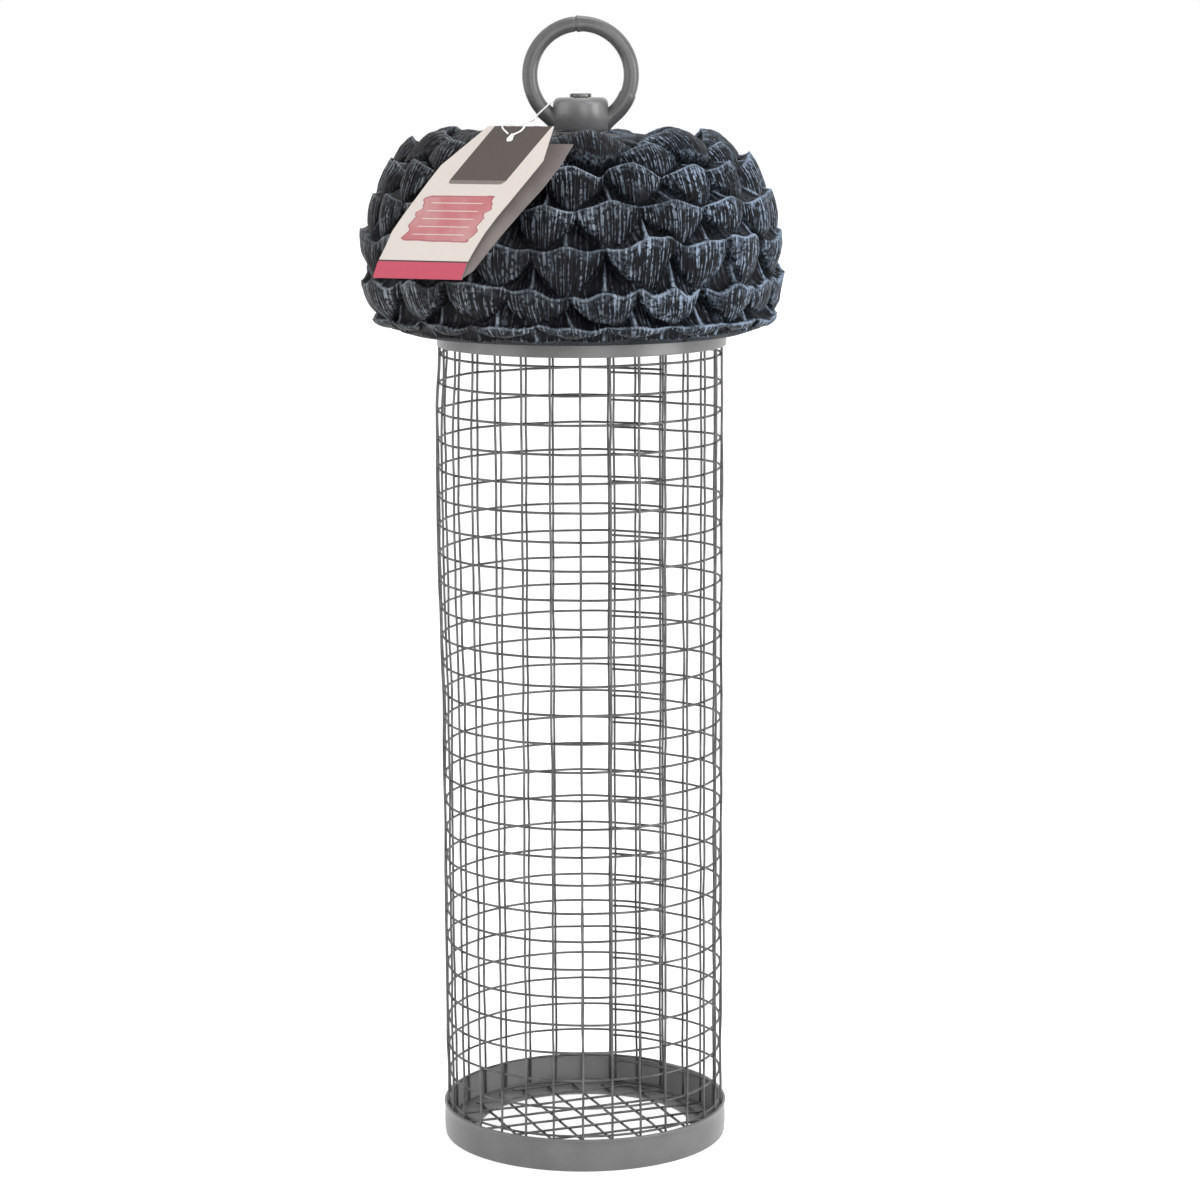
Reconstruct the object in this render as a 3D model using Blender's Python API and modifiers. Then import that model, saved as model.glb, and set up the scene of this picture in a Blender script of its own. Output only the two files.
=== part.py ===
"""Wire mesh bird feeder, in metres, standing on its base cup with +Z up.

A welded mesh tube sits in a pressed base cup and under a steel collar. A cast pine cone lid locks into
the collar by two tabs, and a hub with a hanging ring turns on the stud that goes down through the lid.
A folded swing tag hangs from the ring on its string.
Azimuths are measured from the front, which faces -Y, and grow towards +X.
"""

import math

import bmesh
import bpy
from mathutils import Vector

# Fits between pieces
SEAT_GAP = 0.0003
OVERRUN = 0.002
MERGE_DISTANCE = 0.000005

# Wire mesh tube: the uprights lie outside the hoops
CAGE_RADIUS = 0.0380
WIRE_RADIUS = 0.00036
MESH_PITCH = 0.00762
HOOP_COUNT = 30
UPRIGHTS_ROUND = 30
OVERLAP_CELLS = 2
SHEET_SLIP = math.radians(0.05)
SEAM_AZIMUTH = math.radians(145.0)
RAMP_CELLS = 4
WIRE_GAP = 0.00006
WELD_DEPTH = 0.00014
WIRE_STUB = 0.0009
HOOP_STEP_SHARE = 1.5

# Base cup and its floor mesh
CUP_HEIGHT = 0.0095
CUP_SHEET = 0.0006
CUP_CLEARANCE = 0.0003
CUP_EDGE_RADIUS = 0.0008
CUP_FLANGE_WIDTH = 0.0080
FLOOR_TURN = math.radians(31.0)
FLOOR_CLEARANCE = 0.0004

# Collar round the top of the tube
COLLAR_HEIGHT = 0.0082
COLLAR_SHEET = 0.00045
COLLAR_CLEARANCE = 0.0002
TAB_COUNT = 2
TAB_WIDTH = 0.0090
TAB_REACH = 0.0018
TAB_THICKNESS = 0.0008
TAB_CLEARANCE = 0.0004

# Lid pan, the steel plug under the pine cone
PAN_SHEET = 0.0006
SKIRT_DEPTH = 0.0080
SKIRT_CLEARANCE = 0.0005

# Pine cone lid
CONE_OVERHANG = 0.0174
CONE_HEIGHT = 0.0524
CONE_RECESS_DEPTH = 0.0064
CONE_RECESS_CLEARANCE = 0.0006
CONE_SIDE_SHIFT = -0.0015
CONE_SCALES_ROUND = 19
CONE_SCALE_DEPTH = 0.0056
CONE_SEAT_RADIUS = 0.0090
# Ridge rows from the hub outwards and down: radius, height and depth as shares of the lid's
CONE_ROW_SHARES = (
    (0.300, 1.000, 0.25),
    (0.440, 1.012, 0.60),
    (0.640, 1.034, 0.95),
    (0.762, 0.968, 0.90),
    (0.862, 0.870, 1.00),
    (0.955, 0.700, 1.00),
    (1.000, 0.505, 1.00),
    (0.995, 0.292, 1.00),
    (0.960, 0.115, 0.95),
    (0.858, 0.012, 0.50),
)
# Scales of each row: their number, then width and first middle as shares of their pitch, and reach in rows
CONE_ROW_SCALES = (
    (6, 1.04, 0.10, 1.00),
    (8, 1.04, 0.45, 1.05),
    (9, 0.98, 0.20, 1.85),
    (9, 0.66, 0.74, 1.05),
    (19, 1.12, 0.08, 0.95),
    (19, 1.12, 0.60, 0.95),
    (19, 1.14, 0.03, 0.95),
    (19, 1.14, 0.53, 0.95),
    (19, 1.14, 0.95, 0.95),
    (19, 1.12, 0.45, 0.95),
)
# A scale's height share lost along its ridge, down its front and up its hollow
CONE_RIDGE_FALL = 0.40
CONE_FRONT_FALL = 0.32
CONE_HOLLOW_FALL = 0.94

# Stud, washers and nut through the lid
STUD_RADIUS = 0.0020
STUD_END = 0.0012
BORE_CLEARANCE = 0.0003
HEAD_RADIUS = 0.00285
HEAD_THICKNESS = 0.0010
HEAD_CHAMFER = 0.00033
HEAD_GAP = 0.0004
NUT_ACROSS_FLATS = 0.0070
NUT_THICKNESS = 0.0032
WASHER_THICKNESS = 0.0008
NUT_WASHER_RADIUS = 0.0045
HUB_WASHER_OVERLAP = 0.0007

# Hub and hanging ring
HUB_RADIUS = 0.0075
HUB_HEIGHT = 0.0085
HUB_EDGE_RADIUS = 0.0016
HUB_DRAFT_SHARE = 0.975
RING_RADIUS = 0.0134
RING_WIRE_RADIUS = 0.00203
RING_ENTRY_HEIGHT = 0.0032
RING_SOCKET_DEPTH = 0.0015
RING_SOCKET_CLEARANCE = 0.00015
RING_SEAM_SHARE = 1.14

# Swing tag: a card folded at its lower edge
TAG_WIDTH = 0.0250
TAG_HEIGHT = 0.0381
TAG_CARD = 0.0004
TAG_AZIMUTH = math.radians(-20.5)
TAG_FOLD_SHIFT = -0.0335
TAG_STANDOFF = 0.0016
TAG_DROP = 0.0343
TAG_FRONT_LEAN = math.radians(3.8)
TAG_BACK_LEAN = math.radians(9.0)
# Corners of each leaf as shares of the card's width and height, from the left end of the fold
TAG_FRONT_SHARES = ((0, 0), (0.97, 0), (1.83, 0.775), (1.94, 1.0), (1.24, 1.0), (0.73, 0.74))
TAG_BACK_SHARES = ((0, 0), (0.97, 0), (2.06, 0.89), (1.05, 0.89))
TAG_HOLE_SHARE = (1.49, 0.925)

# Tag string: a loop from the knot round the ring's arm and back
STRING_RADIUS = 0.00028
KNOT_RADIUS = 0.0008
KNOT_LENGTH = 0.0029
KNOT_LEAN = math.radians(42.0)
STRING_POINT_COUNT = 54
STRING_ROUTE = (
    (-0.0165, -0.0573, 0.2751),
    (-0.0144, -0.0578, 0.2762),
    (-0.0134, -0.0568, 0.2775),
    (-0.0129, -0.0503, 0.2777),
    (-0.0122, -0.0350, 0.2771),
    (-0.0117, -0.0200, 0.2771),
    (-0.0117, -0.0080, 0.2775),
    (-0.0117, -0.0028, 0.2780),
    (-0.0104, -0.0031, 0.2793),
    (-0.0090, -0.0027, 0.2806),
    (-0.0078, -0.0012, 0.2816),
    (-0.0077, 0.0012, 0.2816),
    (-0.0091, 0.0028, 0.2802),
    (-0.0108, 0.0029, 0.2782),
    (-0.0126, 0.0014, 0.2768),
    (-0.0139, -0.0030, 0.2763),
    (-0.0151, -0.0120, 0.2762),
    (-0.0163, -0.0280, 0.2763),
    (-0.0177, -0.0440, 0.2772),
    (-0.0188, -0.0533, 0.2777),
    (-0.0192, -0.0562, 0.2768),
    (-0.0178, -0.0568, 0.2753),
)

# Facets
ROUND_STEPS = 40
SMALL_ROUND_STEPS = 24
CONE_COLUMNS_PER_SCALE = 4
CONE_STATIONS_PER_ROW = 2
RING_STEP = math.radians(10.0)
KNOT_COLUMNS = 10
KNOT_ROWS = 6

# Sizes that follow from the ones above
CELL_ANGLE = math.tau / UPRIGHTS_ROUND + SHEET_SLIP
UPRIGHT_CIRCLE = CAGE_RADIUS - WIRE_RADIUS
LAYER_STEP = 2 * WIRE_RADIUS + WIRE_GAP
CAGE_BASE = CUP_SHEET + SEAT_GAP
CAGE_TOP = CAGE_BASE + 2 * WIRE_STUB + (HOOP_COUNT - 1) * MESH_PITCH
CAGE_INNER_RADIUS = UPRIGHT_CIRCLE - 3 * LAYER_STEP - WIRE_RADIUS
CUP_INNER_RADIUS = CAGE_RADIUS + CUP_CLEARANCE
CUP_RADIUS = CUP_INNER_RADIUS + CUP_SHEET
FLOOR_RADIUS = CAGE_INNER_RADIUS - FLOOR_CLEARANCE
COLLAR_INNER_RADIUS = CAGE_RADIUS + COLLAR_CLEARANCE
COLLAR_RADIUS = COLLAR_INNER_RADIUS + COLLAR_SHEET
TAB_BASE = CAGE_TOP + TAB_CLEARANCE
FLANGE_BASE = TAB_BASE + TAB_THICKNESS + TAB_CLEARANCE
COLLAR_TOP = FLANGE_BASE + COLLAR_SHEET
SKIRT_RADIUS = CAGE_INNER_RADIUS - SKIRT_CLEARANCE
PAN_BASE = COLLAR_TOP + SEAT_GAP
RECESS_CEILING = PAN_BASE + PAN_SHEET + SEAT_GAP
RECESS_RADIUS = COLLAR_RADIUS + CONE_RECESS_CLEARANCE
CONE_BASE = RECESS_CEILING - CONE_RECESS_DEPTH
CONE_SEAT = CONE_BASE + CONE_HEIGHT
CONE_RADIUS = RECESS_RADIUS + CONE_OVERHANG
BORE_RADIUS = STUD_RADIUS + BORE_CLEARANCE
HUB_BASE = CONE_SEAT + WASHER_THICKNESS + 2 * SEAT_GAP
HUB_TOP = HUB_BASE + HUB_HEIGHT
HEAD_BASE = HUB_TOP + HEAD_GAP
NUT_WASHER_BASE = PAN_BASE - SEAT_GAP - WASHER_THICKNESS
NUT_BASE = NUT_WASHER_BASE - SEAT_GAP - NUT_THICKNESS
RING_CENTRE = HUB_BASE + RING_ENTRY_HEIGHT + math.sqrt(RING_RADIUS**2 - HUB_RADIUS**2)


def clear_scene():
    for obj in list(bpy.data.objects):
        bpy.data.objects.remove(obj, do_unlink=True)


def new_collection(name):
    collection = bpy.data.collections.new(name)
    bpy.context.scene.collection.children.link(collection)
    return collection


def new_material(name, colour, roughness, metallic):
    material = bpy.data.materials.new(name)
    material.use_nodes = True
    shader = material.node_tree.nodes["Principled BSDF"]
    shader.inputs["Base Color"].default_value = (*colour, 1)
    shader.inputs["Roughness"].default_value = roughness
    shader.inputs["Metallic"].default_value = metallic
    return material


def new_object(name, data, collection, material=None):
    obj = bpy.data.objects.new(name, data)
    collection.objects.link(obj)
    if material:
        data.materials.append(material)
    return obj


def new_pivot(name, height, collection, parent=None):
    pivot = bpy.data.objects.new(name, None)
    collection.objects.link(pivot)
    pivot.location.z = height
    pivot.parent = parent
    return pivot


def seat(obj, pivot, height, pivot_height=0):
    """Parents obj to its pivot, with its own base at this height above the ground."""
    obj.parent = pivot
    obj.location.z = height - pivot_height


def as_mesh(obj, collection):
    """Turns a curve or a modified object into a plain closed mesh under the same name."""
    graph = bpy.context.evaluated_depsgraph_get()
    mesh = bpy.data.meshes.new_from_object(obj.evaluated_get(graph))
    name, matrix, materials = obj.name, obj.matrix_world.copy(), list(obj.data.materials)
    bpy.data.objects.remove(obj, do_unlink=True)
    shape = bmesh.new()
    shape.from_mesh(mesh)
    bmesh.ops.remove_doubles(shape, verts=shape.verts, dist=MERGE_DISTANCE)
    bmesh.ops.recalc_face_normals(shape, faces=shape.faces)
    shape.to_mesh(mesh)
    shape.free()
    mesh.materials.clear()
    plain = new_object(name, mesh, collection)
    for material in materials:
        mesh.materials.append(material)
    plain.matrix_world = matrix
    return plain


def turned(name, profile, collection, material, steps=ROUND_STEPS):
    """A section of (radius, height) points, turned about Z. Its outer side runs top to bottom, and it is
    closed by its last edge, unless it starts and ends on the axis."""
    mesh = bpy.data.meshes.new(name)
    points = [(radius, 0, height) for radius, height in profile]
    edges = [(i, i + 1) for i in range(len(points) - 1)]
    if profile[0][0]:
        edges.append((len(points) - 1, 0))
    mesh.from_pydata(points, edges, [])
    obj = new_object(name, mesh, collection, material)
    screw = obj.modifiers.new("turn", "SCREW")
    screw.axis = "Z"
    screw.steps = screw.render_steps = steps
    screw.use_merge_vertices = True
    screw.merge_threshold = MERGE_DISTANCE
    return obj


def wires(name, routes, radius, collection, material, resolution=0, radius_shares=None):
    """A curve object with one straight-sided wire along each route of points."""
    curve = bpy.data.curves.new(name, "CURVE")
    curve.dimensions = "3D"
    curve.bevel_depth = radius
    curve.bevel_resolution = resolution
    curve.use_fill_caps = True
    for route in routes:
        spline = curve.splines.new("POLY")
        spline.points.add(len(route) - 1)
        for index, (point, place) in enumerate(zip(spline.points, route)):
            point.co = (*place, 1)
            point.radius = radius_shares[index] if radius_shares else 1
    return new_object(name, curve, collection, material)


def add_boolean(obj, operand, operation):
    operand.hide_render = True
    operand.display_type = "WIRE"
    change = obj.modifiers.new(operation.lower(), "BOOLEAN")
    change.object = operand
    change.operation = operation
    change.solver = "EXACT"


def around(radius, azimuth, height=0):
    return Vector((radius * math.sin(azimuth), -radius * math.cos(azimuth), height))


def arc(centre, radius, start, end, count):
    """Points (radius, height) on an arc of a section, its angles in degrees from the +radius direction."""
    angles = [math.radians(start + (end - start) * i / (count - 1)) for i in range(count)]
    return [(centre[0] + radius * math.cos(a), centre[1] + radius * math.sin(a)) for a in angles]


def smooth_points(route, count):
    """Evenly counted points on the smooth curve that passes through the route's points."""
    ends = [2 * Vector(route[0]) - Vector(route[1]), 2 * Vector(route[-1]) - Vector(route[-2])]
    knots = [ends[0], *map(Vector, route), ends[1]]
    places = []
    for index in range(count):
        at = index / (count - 1) * (len(route) - 1)
        span = min(int(at), len(route) - 2)
        t = at - span
        a, b, c, d = knots[span : span + 4]
        places.append(
            (2 * b + (c - a) * t + (2 * a - 5 * b + 4 * c - d) * t**2 + (3 * b - a - 3 * c + d) * t**3) / 2
        )
    return places


def upright_azimuth(index):
    return SEAM_AZIMUTH + index * CELL_ANGLE


def sheet_sink(azimuth):
    """How far the rolled sheet lies inside its outer layer: nothing, then a ramp, then two layers of wire."""
    ramp_end = SEAM_AZIMUTH + UPRIGHTS_ROUND * CELL_ANGLE
    share = (azimuth - ramp_end) / (RAMP_CELLS * CELL_ANGLE) + 1
    share = min(max(share, 0), 1)
    return 2 * LAYER_STEP * share * share * (3 - 2 * share)


def hoop_height(index):
    return CAGE_BASE + WIRE_STUB + index * MESH_PITCH


def crossings(step_share=1):
    """Uprights, counted along the sheet, at which a hoop has a point: wider steps away from the seam."""
    plain = UPRIGHTS_ROUND - 2 * RAMP_CELLS
    count = round(plain / step_share)
    places = [RAMP_CELLS + plain * k / count for k in range(count)]
    end = range(UPRIGHTS_ROUND - RAMP_CELLS, UPRIGHTS_ROUND + OVERLAP_CELLS + 1)
    return [*range(RAMP_CELLS), *places, *end]


def hoop_route(index, inset, step_share=1):
    """One hoop of the sheet, from its stub end at the seam round to its other end inside the first cells."""
    stub = WIRE_STUB / UPRIGHT_CIRCLE
    azimuths = [upright_azimuth(place) for place in crossings(step_share)]
    azimuths = [azimuths[0] - stub, *azimuths, azimuths[-1] + stub]
    height = hoop_height(index)
    return [around(UPRIGHT_CIRCLE - sheet_sink(a) - inset, a, height) for a in azimuths]


def build_cage(parts, cutters, pivot, steel):
    link = UPRIGHTS_ROUND + 1
    selvedges = (0, HOOP_COUNT - 1)
    sheet_uprights = [i for i in range(UPRIGHTS_ROUND + OVERLAP_CELLS + 1) if i != link]

    def upright_route(index, low, high, inset=0):
        azimuth = upright_azimuth(index)
        radius = UPRIGHT_CIRCLE - sheet_sink(azimuth) - inset
        return [around(radius, azimuth, low), around(radius, azimuth, high)]

    bars = [upright_route(i, CAGE_BASE, CAGE_TOP) for i in sheet_uprights]
    uprights = as_mesh(wires("mesh_uprights", bars, WIRE_RADIUS, parts, steel), parts)
    welded_inset = LAYER_STEP - WIRE_GAP - WELD_DEPTH
    rings = [hoop_route(i, welded_inset) for i in selvedges]
    selvedge = as_mesh(wires("selvedge_hoops", rings, WIRE_RADIUS, cutters, steel), cutters)
    add_boolean(uprights, selvedge, "UNION")
    seat(uprights, pivot, 0)

    rings = [hoop_route(i, LAYER_STEP, HOOP_STEP_SHARE) for i in range(1, HOOP_COUNT - 1)]
    hoops = as_mesh(wires("mesh_hoops", rings, WIRE_RADIUS, parts, steel), parts)
    ends = hoop_height(1) - WIRE_STUB, hoop_height(HOOP_COUNT - 2) + WIRE_STUB
    bar = upright_route(link, *ends, inset=WELD_DEPTH + WIRE_GAP)
    seam = as_mesh(wires("seam_upright", [bar], WIRE_RADIUS, cutters, steel), cutters)
    add_boolean(hoops, seam, "UNION")
    seat(hoops, pivot, 0)


def build_floor(parts, cutters, pivot, steel):
    """Welded square mesh, cut to a disc that lies on the cup's flange."""
    reach = int((FLOOR_RADIUS - WIRE_RADIUS) / MESH_PITCH)
    layers = []
    for turn, height in ((0, 0), (math.pi / 2, 2 * WIRE_RADIUS - WELD_DEPTH)):
        along = around(1, FLOOR_TURN + turn)
        across = around(1, FLOOR_TURN + turn + math.pi / 2)
        routes = []
        for k in range(-reach, reach + 1):
            half = math.sqrt(FLOOR_RADIUS**2 - (k * MESH_PITCH) ** 2)
            middle = across * (k * MESH_PITCH) + Vector((0, 0, WIRE_RADIUS + height))
            routes.append([middle - along * half, middle + along * half])
        layers.append(routes)
    floor = as_mesh(wires("floor_mesh", layers[0], WIRE_RADIUS, parts, steel), parts)
    upper = as_mesh(wires("floor_upper_wires", layers[1], WIRE_RADIUS, cutters, steel), cutters)
    upper.location.z = CAGE_BASE
    add_boolean(floor, upper, "UNION")
    seat(floor, pivot, CAGE_BASE)


def build_cup(parts, pivot, paint):
    flange_radius = CUP_RADIUS - CUP_FLANGE_WIDTH
    edge = CUP_EDGE_RADIUS
    profile = [
        (CUP_INNER_RADIUS, CUP_HEIGHT),
        (CUP_RADIUS, CUP_HEIGHT),
        *arc((CUP_RADIUS - edge, edge), edge, 0, -90, 4),
        (flange_radius, 0),
        (flange_radius, CUP_SHEET),
        (CUP_INNER_RADIUS, CUP_SHEET),
    ]
    seat(turned("base_cup", profile, parts, paint), pivot, 0)


def tab_bars(name, width, reach, base, thickness, collection):
    """Bars across the axis under each pair of tabs, or through their notches."""
    shape = bmesh.new()
    for index in range(TAB_COUNT):
        azimuth = index * math.tau / TAB_COUNT + math.tau / 4
        bar = bmesh.ops.create_cube(shape, size=1)["verts"]
        inner = SKIRT_RADIUS - PAN_SHEET / 2
        bmesh.ops.scale(shape, verts=bar, vec=(reach - inner, width, thickness))
        bmesh.ops.translate(shape, verts=bar, vec=((reach + inner) / 2, 0, base + thickness / 2))
        turn = around(1, azimuth).to_2d().angle_signed(Vector((1, 0)))
        for vert in bar:
            x, y = vert.co.x, vert.co.y
            vert.co.x = x * math.cos(turn) - y * math.sin(turn)
            vert.co.y = x * math.sin(turn) + y * math.cos(turn)
    mesh = bpy.data.meshes.new(name)
    shape.to_mesh(mesh)
    shape.free()
    return new_object(name, mesh, collection)


def build_collar(parts, cutters, pivot, paint):
    """A band round the tube with an inner flange, notched so that the lid's tabs drop through."""
    flange_radius = SKIRT_RADIUS + SKIRT_CLEARANCE
    low = COLLAR_TOP - COLLAR_HEIGHT
    profile = [
        (flange_radius, COLLAR_TOP),
        (COLLAR_RADIUS - COLLAR_SHEET / 2, COLLAR_TOP),
        (COLLAR_RADIUS, COLLAR_TOP - COLLAR_SHEET / 2),
        (COLLAR_RADIUS, low),
        (COLLAR_INNER_RADIUS, low),
        (COLLAR_INNER_RADIUS, FLANGE_BASE),
        (flange_radius, FLANGE_BASE),
    ]
    collar = turned("top_collar", profile, parts, paint)
    notch = tab_bars(
        "tab_notches",
        TAB_WIDTH + 2 * TAB_CLEARANCE,
        SKIRT_RADIUS + TAB_REACH + TAB_CLEARANCE,
        FLANGE_BASE - OVERRUN,
        COLLAR_SHEET + 2 * OVERRUN,
        cutters,
    )
    add_boolean(collar, notch, "DIFFERENCE")
    seat(collar, pivot, 0)


def build_pan(parts, cutters, pivot, pivot_height, paint):
    """Pressed disc with a plug skirt and two tabs, bored for the stud."""
    profile = [
        (BORE_RADIUS, PAN_SHEET),
        (COLLAR_RADIUS, PAN_SHEET),
        (COLLAR_RADIUS, 0),
        (SKIRT_RADIUS, 0),
        (SKIRT_RADIUS, -SKIRT_DEPTH),
        (SKIRT_RADIUS - PAN_SHEET, -SKIRT_DEPTH),
        (SKIRT_RADIUS - PAN_SHEET, 0),
        (BORE_RADIUS, 0),
    ]
    pan = turned("lid_pan", profile, parts, paint)
    tabs = tab_bars("lid_tabs", TAB_WIDTH, SKIRT_RADIUS + TAB_REACH, TAB_BASE, TAB_THICKNESS, cutters)
    add_boolean(pan, tabs, "UNION")
    seat(pan, pivot, PAN_BASE, pivot_height)


def cone_stations():
    """(radius, height, depth, row) down the lid's outside, between and on its ridge rows."""
    rows = [Vector(row) for row in CONE_ROW_SHARES]
    count = (len(rows) - 1) * CONE_STATIONS_PER_ROW + 1
    stations = []
    for index, share in enumerate(smooth_points(rows, count)):
        stations.append(
            (
                share.x * CONE_RADIUS,
                share.y * CONE_HEIGHT,
                share.z * CONE_SCALE_DEPTH,
                index / CONE_STATIONS_PER_ROW,
            )
        )
    return stations


def station_at(stations, radius, height):
    """Number of the station that a point of the blank lies on, or None for the flats at its ends."""
    misses = [math.hypot(station[0] - radius, station[1] - height) for station in stations]
    nearest = misses.index(min(misses))
    return nearest if misses[nearest] < MERGE_DISTANCE else None


def scale_relief(azimuth, row):
    """Height share of the scales, 1 on a tip and 0 in the grooves, with a front below and a hollow above."""
    tallest = 0
    for ridge, (count, width, start, reach) in enumerate(CONE_ROW_SCALES):
        turn = azimuth / math.tau * count - start
        side = abs(2 * (turn - round(turn))) / width
        crest = 1 - CONE_RIDGE_FALL * side**1.5
        down = (row - ridge) / reach
        if 0 <= down < 1 and side < (1 - down**1.5) ** 0.8:
            tallest = max(tallest, crest - CONE_FRONT_FALL * down)
        elif -1 < row - ridge < 0:
            tallest = max(tallest, crest * (1 - CONE_HOLLOW_FALL * (ridge - row)))
    return tallest


def build_cone(parts, cutters, pivot, pivot_height, resin):
    """Cast pine cone: a turned blank, drawn in between the tips of its scales and creased along them."""
    stations = cone_stations()
    profile = [(0, CONE_HEIGHT), (CONE_SEAT_RADIUS, CONE_HEIGHT)]
    profile += [(radius, height) for radius, height, _, _ in stations] + [(0, 0)]
    blank = turned("pine_cone", profile, parts, resin, CONE_SCALES_ROUND * CONE_COLUMNS_PER_SCALE)
    cone = as_mesh(blank, parts)
    shape = bmesh.new()
    shape.from_mesh(cone.data)
    relief = {}
    for vertex in shape.verts:
        radius = math.hypot(vertex.co.x, vertex.co.y)
        index = station_at(stations, radius, vertex.co.z)
        if index is None:
            continue
        before = stations[max(index - 1, 0)]
        after = stations[min(index + 1, len(stations) - 1)]
        slope = Vector((after[0] - before[0], after[1] - before[1])).normalized()
        azimuth = math.atan2(vertex.co.x, -vertex.co.y)
        relief[vertex] = scale_relief(azimuth, stations[index][3])
        sunk = stations[index][2] * (1 - relief[vertex])
        place = around(radius + slope.y * sunk, azimuth, vertex.co.z - slope.x * sunk)
        vertex.co = place + Vector((CONE_SIDE_SHIFT, 0, 0))
    for face in [f for f in shape.faces if all(v in relief for v in f.verts)]:
        a, b, c, d = face.verts
        level = abs(relief[a] - relief[c]) <= abs(relief[b] - relief[d])
        bmesh.utils.face_split(face, *((a, c) if level else (b, d)))
    shape.to_mesh(cone.data)
    shape.free()
    hollow = [
        (0, CONE_RECESS_DEPTH + CONE_HEIGHT),
        (BORE_RADIUS, CONE_RECESS_DEPTH + CONE_HEIGHT),
        (BORE_RADIUS, CONE_RECESS_DEPTH),
        (RECESS_RADIUS, CONE_RECESS_DEPTH),
        (RECESS_RADIUS, -OVERRUN),
        (0, -OVERRUN),
    ]
    cutter = turned("cone_recess", hollow, cutters, resin)
    cutter.location.z = CONE_BASE
    add_boolean(cone, cutter, "DIFFERENCE")
    seat(cone, pivot, CONE_BASE, pivot_height)


def washer(name, radius, base, collection, pivot, pivot_height, paint):
    profile = [
        (BORE_RADIUS, WASHER_THICKNESS),
        (radius, WASHER_THICKNESS),
        (radius, 0),
        (BORE_RADIUS, 0),
    ]
    seat(turned(name, profile, collection, paint, SMALL_ROUND_STEPS), pivot, base, pivot_height)


def build_fixings(parts, cutters, pivot, pivot_height, paint, zinc):
    """The stud with its head over the hub, the nut and washer under the pan, and the hub's washer."""
    shank = HEAD_BASE - NUT_BASE + STUD_END
    profile = [
        (0, shank + HEAD_THICKNESS),
        (HEAD_RADIUS - HEAD_CHAMFER, shank + HEAD_THICKNESS),
        (HEAD_RADIUS, shank + HEAD_THICKNESS - HEAD_CHAMFER),
        (HEAD_RADIUS, shank),
        (STUD_RADIUS, shank),
        (STUD_RADIUS, HEAD_CHAMFER),
        (STUD_RADIUS - HEAD_CHAMFER, 0),
        (0, 0),
    ]
    stud = turned("centre_stud", profile, parts, zinc, SMALL_ROUND_STEPS)
    seat(stud, pivot, NUT_BASE - STUD_END, pivot_height)
    washer("nut_washer", NUT_WASHER_RADIUS, NUT_WASHER_BASE, parts, pivot, pivot_height, zinc)
    hub_washer_radius = HUB_RADIUS + HUB_WASHER_OVERLAP
    washer("hub_washer", hub_washer_radius, CONE_SEAT + SEAT_GAP, parts, pivot, pivot_height, paint)

    shape = bmesh.new()
    across_corners = NUT_ACROSS_FLATS / 2 / math.cos(math.pi / 6)
    bmesh.ops.create_cone(
        shape,
        cap_ends=True,
        segments=6,
        radius1=across_corners,
        radius2=across_corners,
        depth=NUT_THICKNESS,
    )
    bmesh.ops.translate(shape, verts=shape.verts, vec=(0, 0, NUT_THICKNESS / 2))
    mesh = bpy.data.meshes.new("stud_nut")
    shape.to_mesh(mesh)
    shape.free()
    nut = new_object("stud_nut", mesh, parts, zinc)
    thread = [
        (0, NUT_THICKNESS + OVERRUN),
        (BORE_RADIUS, NUT_THICKNESS + OVERRUN),
        (BORE_RADIUS, -OVERRUN),
        (0, -OVERRUN),
    ]
    bore = turned("nut_bore", thread, cutters, zinc, SMALL_ROUND_STEPS)
    bore.location.z = NUT_BASE
    add_boolean(nut, bore, "DIFFERENCE")
    seat(nut, pivot, NUT_BASE, pivot_height)


def ring_route(end_depth):
    """The ring's circle from one socket in the hub round the top to the other."""
    low = math.asin((HUB_RADIUS - end_depth) / RING_RADIUS)
    count = round((math.tau - 2 * low) / RING_STEP / 2) * 2 + 1
    step = (math.tau - 2 * low) / (count - 1)
    angles = [low + i * step for i in range(count)]
    centre = Vector((0, 0, RING_CENTRE - HUB_BASE))
    return [centre + RING_RADIUS * Vector((math.sin(a), 0, -math.cos(a))) for a in angles]


def build_hanger(parts, cutters, pivot, pivot_height, paint):
    top_radius = HUB_RADIUS * HUB_DRAFT_SHARE
    edge = HUB_EDGE_RADIUS
    profile = [
        (BORE_RADIUS, HUB_HEIGHT),
        *arc((top_radius - edge, HUB_HEIGHT - edge), edge, 90, 0, 5),
        (HUB_RADIUS, 0),
        (BORE_RADIUS, 0),
    ]
    hub = turned("swivel_hub", profile, parts, paint, SMALL_ROUND_STEPS)
    route = ring_route(RING_SOCKET_DEPTH)
    middle = len(route) // 2
    shares = [RING_SEAM_SHARE if i == middle else 1 for i in range(len(route))]
    ring = wires("hanging_ring", [route], RING_WIRE_RADIUS, parts, paint, 2, shares)
    socket_radius = RING_WIRE_RADIUS + RING_SOCKET_CLEARANCE
    path = ring_route(RING_SOCKET_DEPTH + RING_SOCKET_CLEARANCE)
    cutter = wires("ring_sockets", [path], socket_radius, cutters, paint, 2)
    cutter.location.z = HUB_BASE
    add_boolean(hub, as_mesh(cutter, cutters), "DIFFERENCE")
    seat(hub, pivot, HUB_BASE, pivot_height)
    seat(ring, pivot, HUB_BASE, pivot_height)


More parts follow.
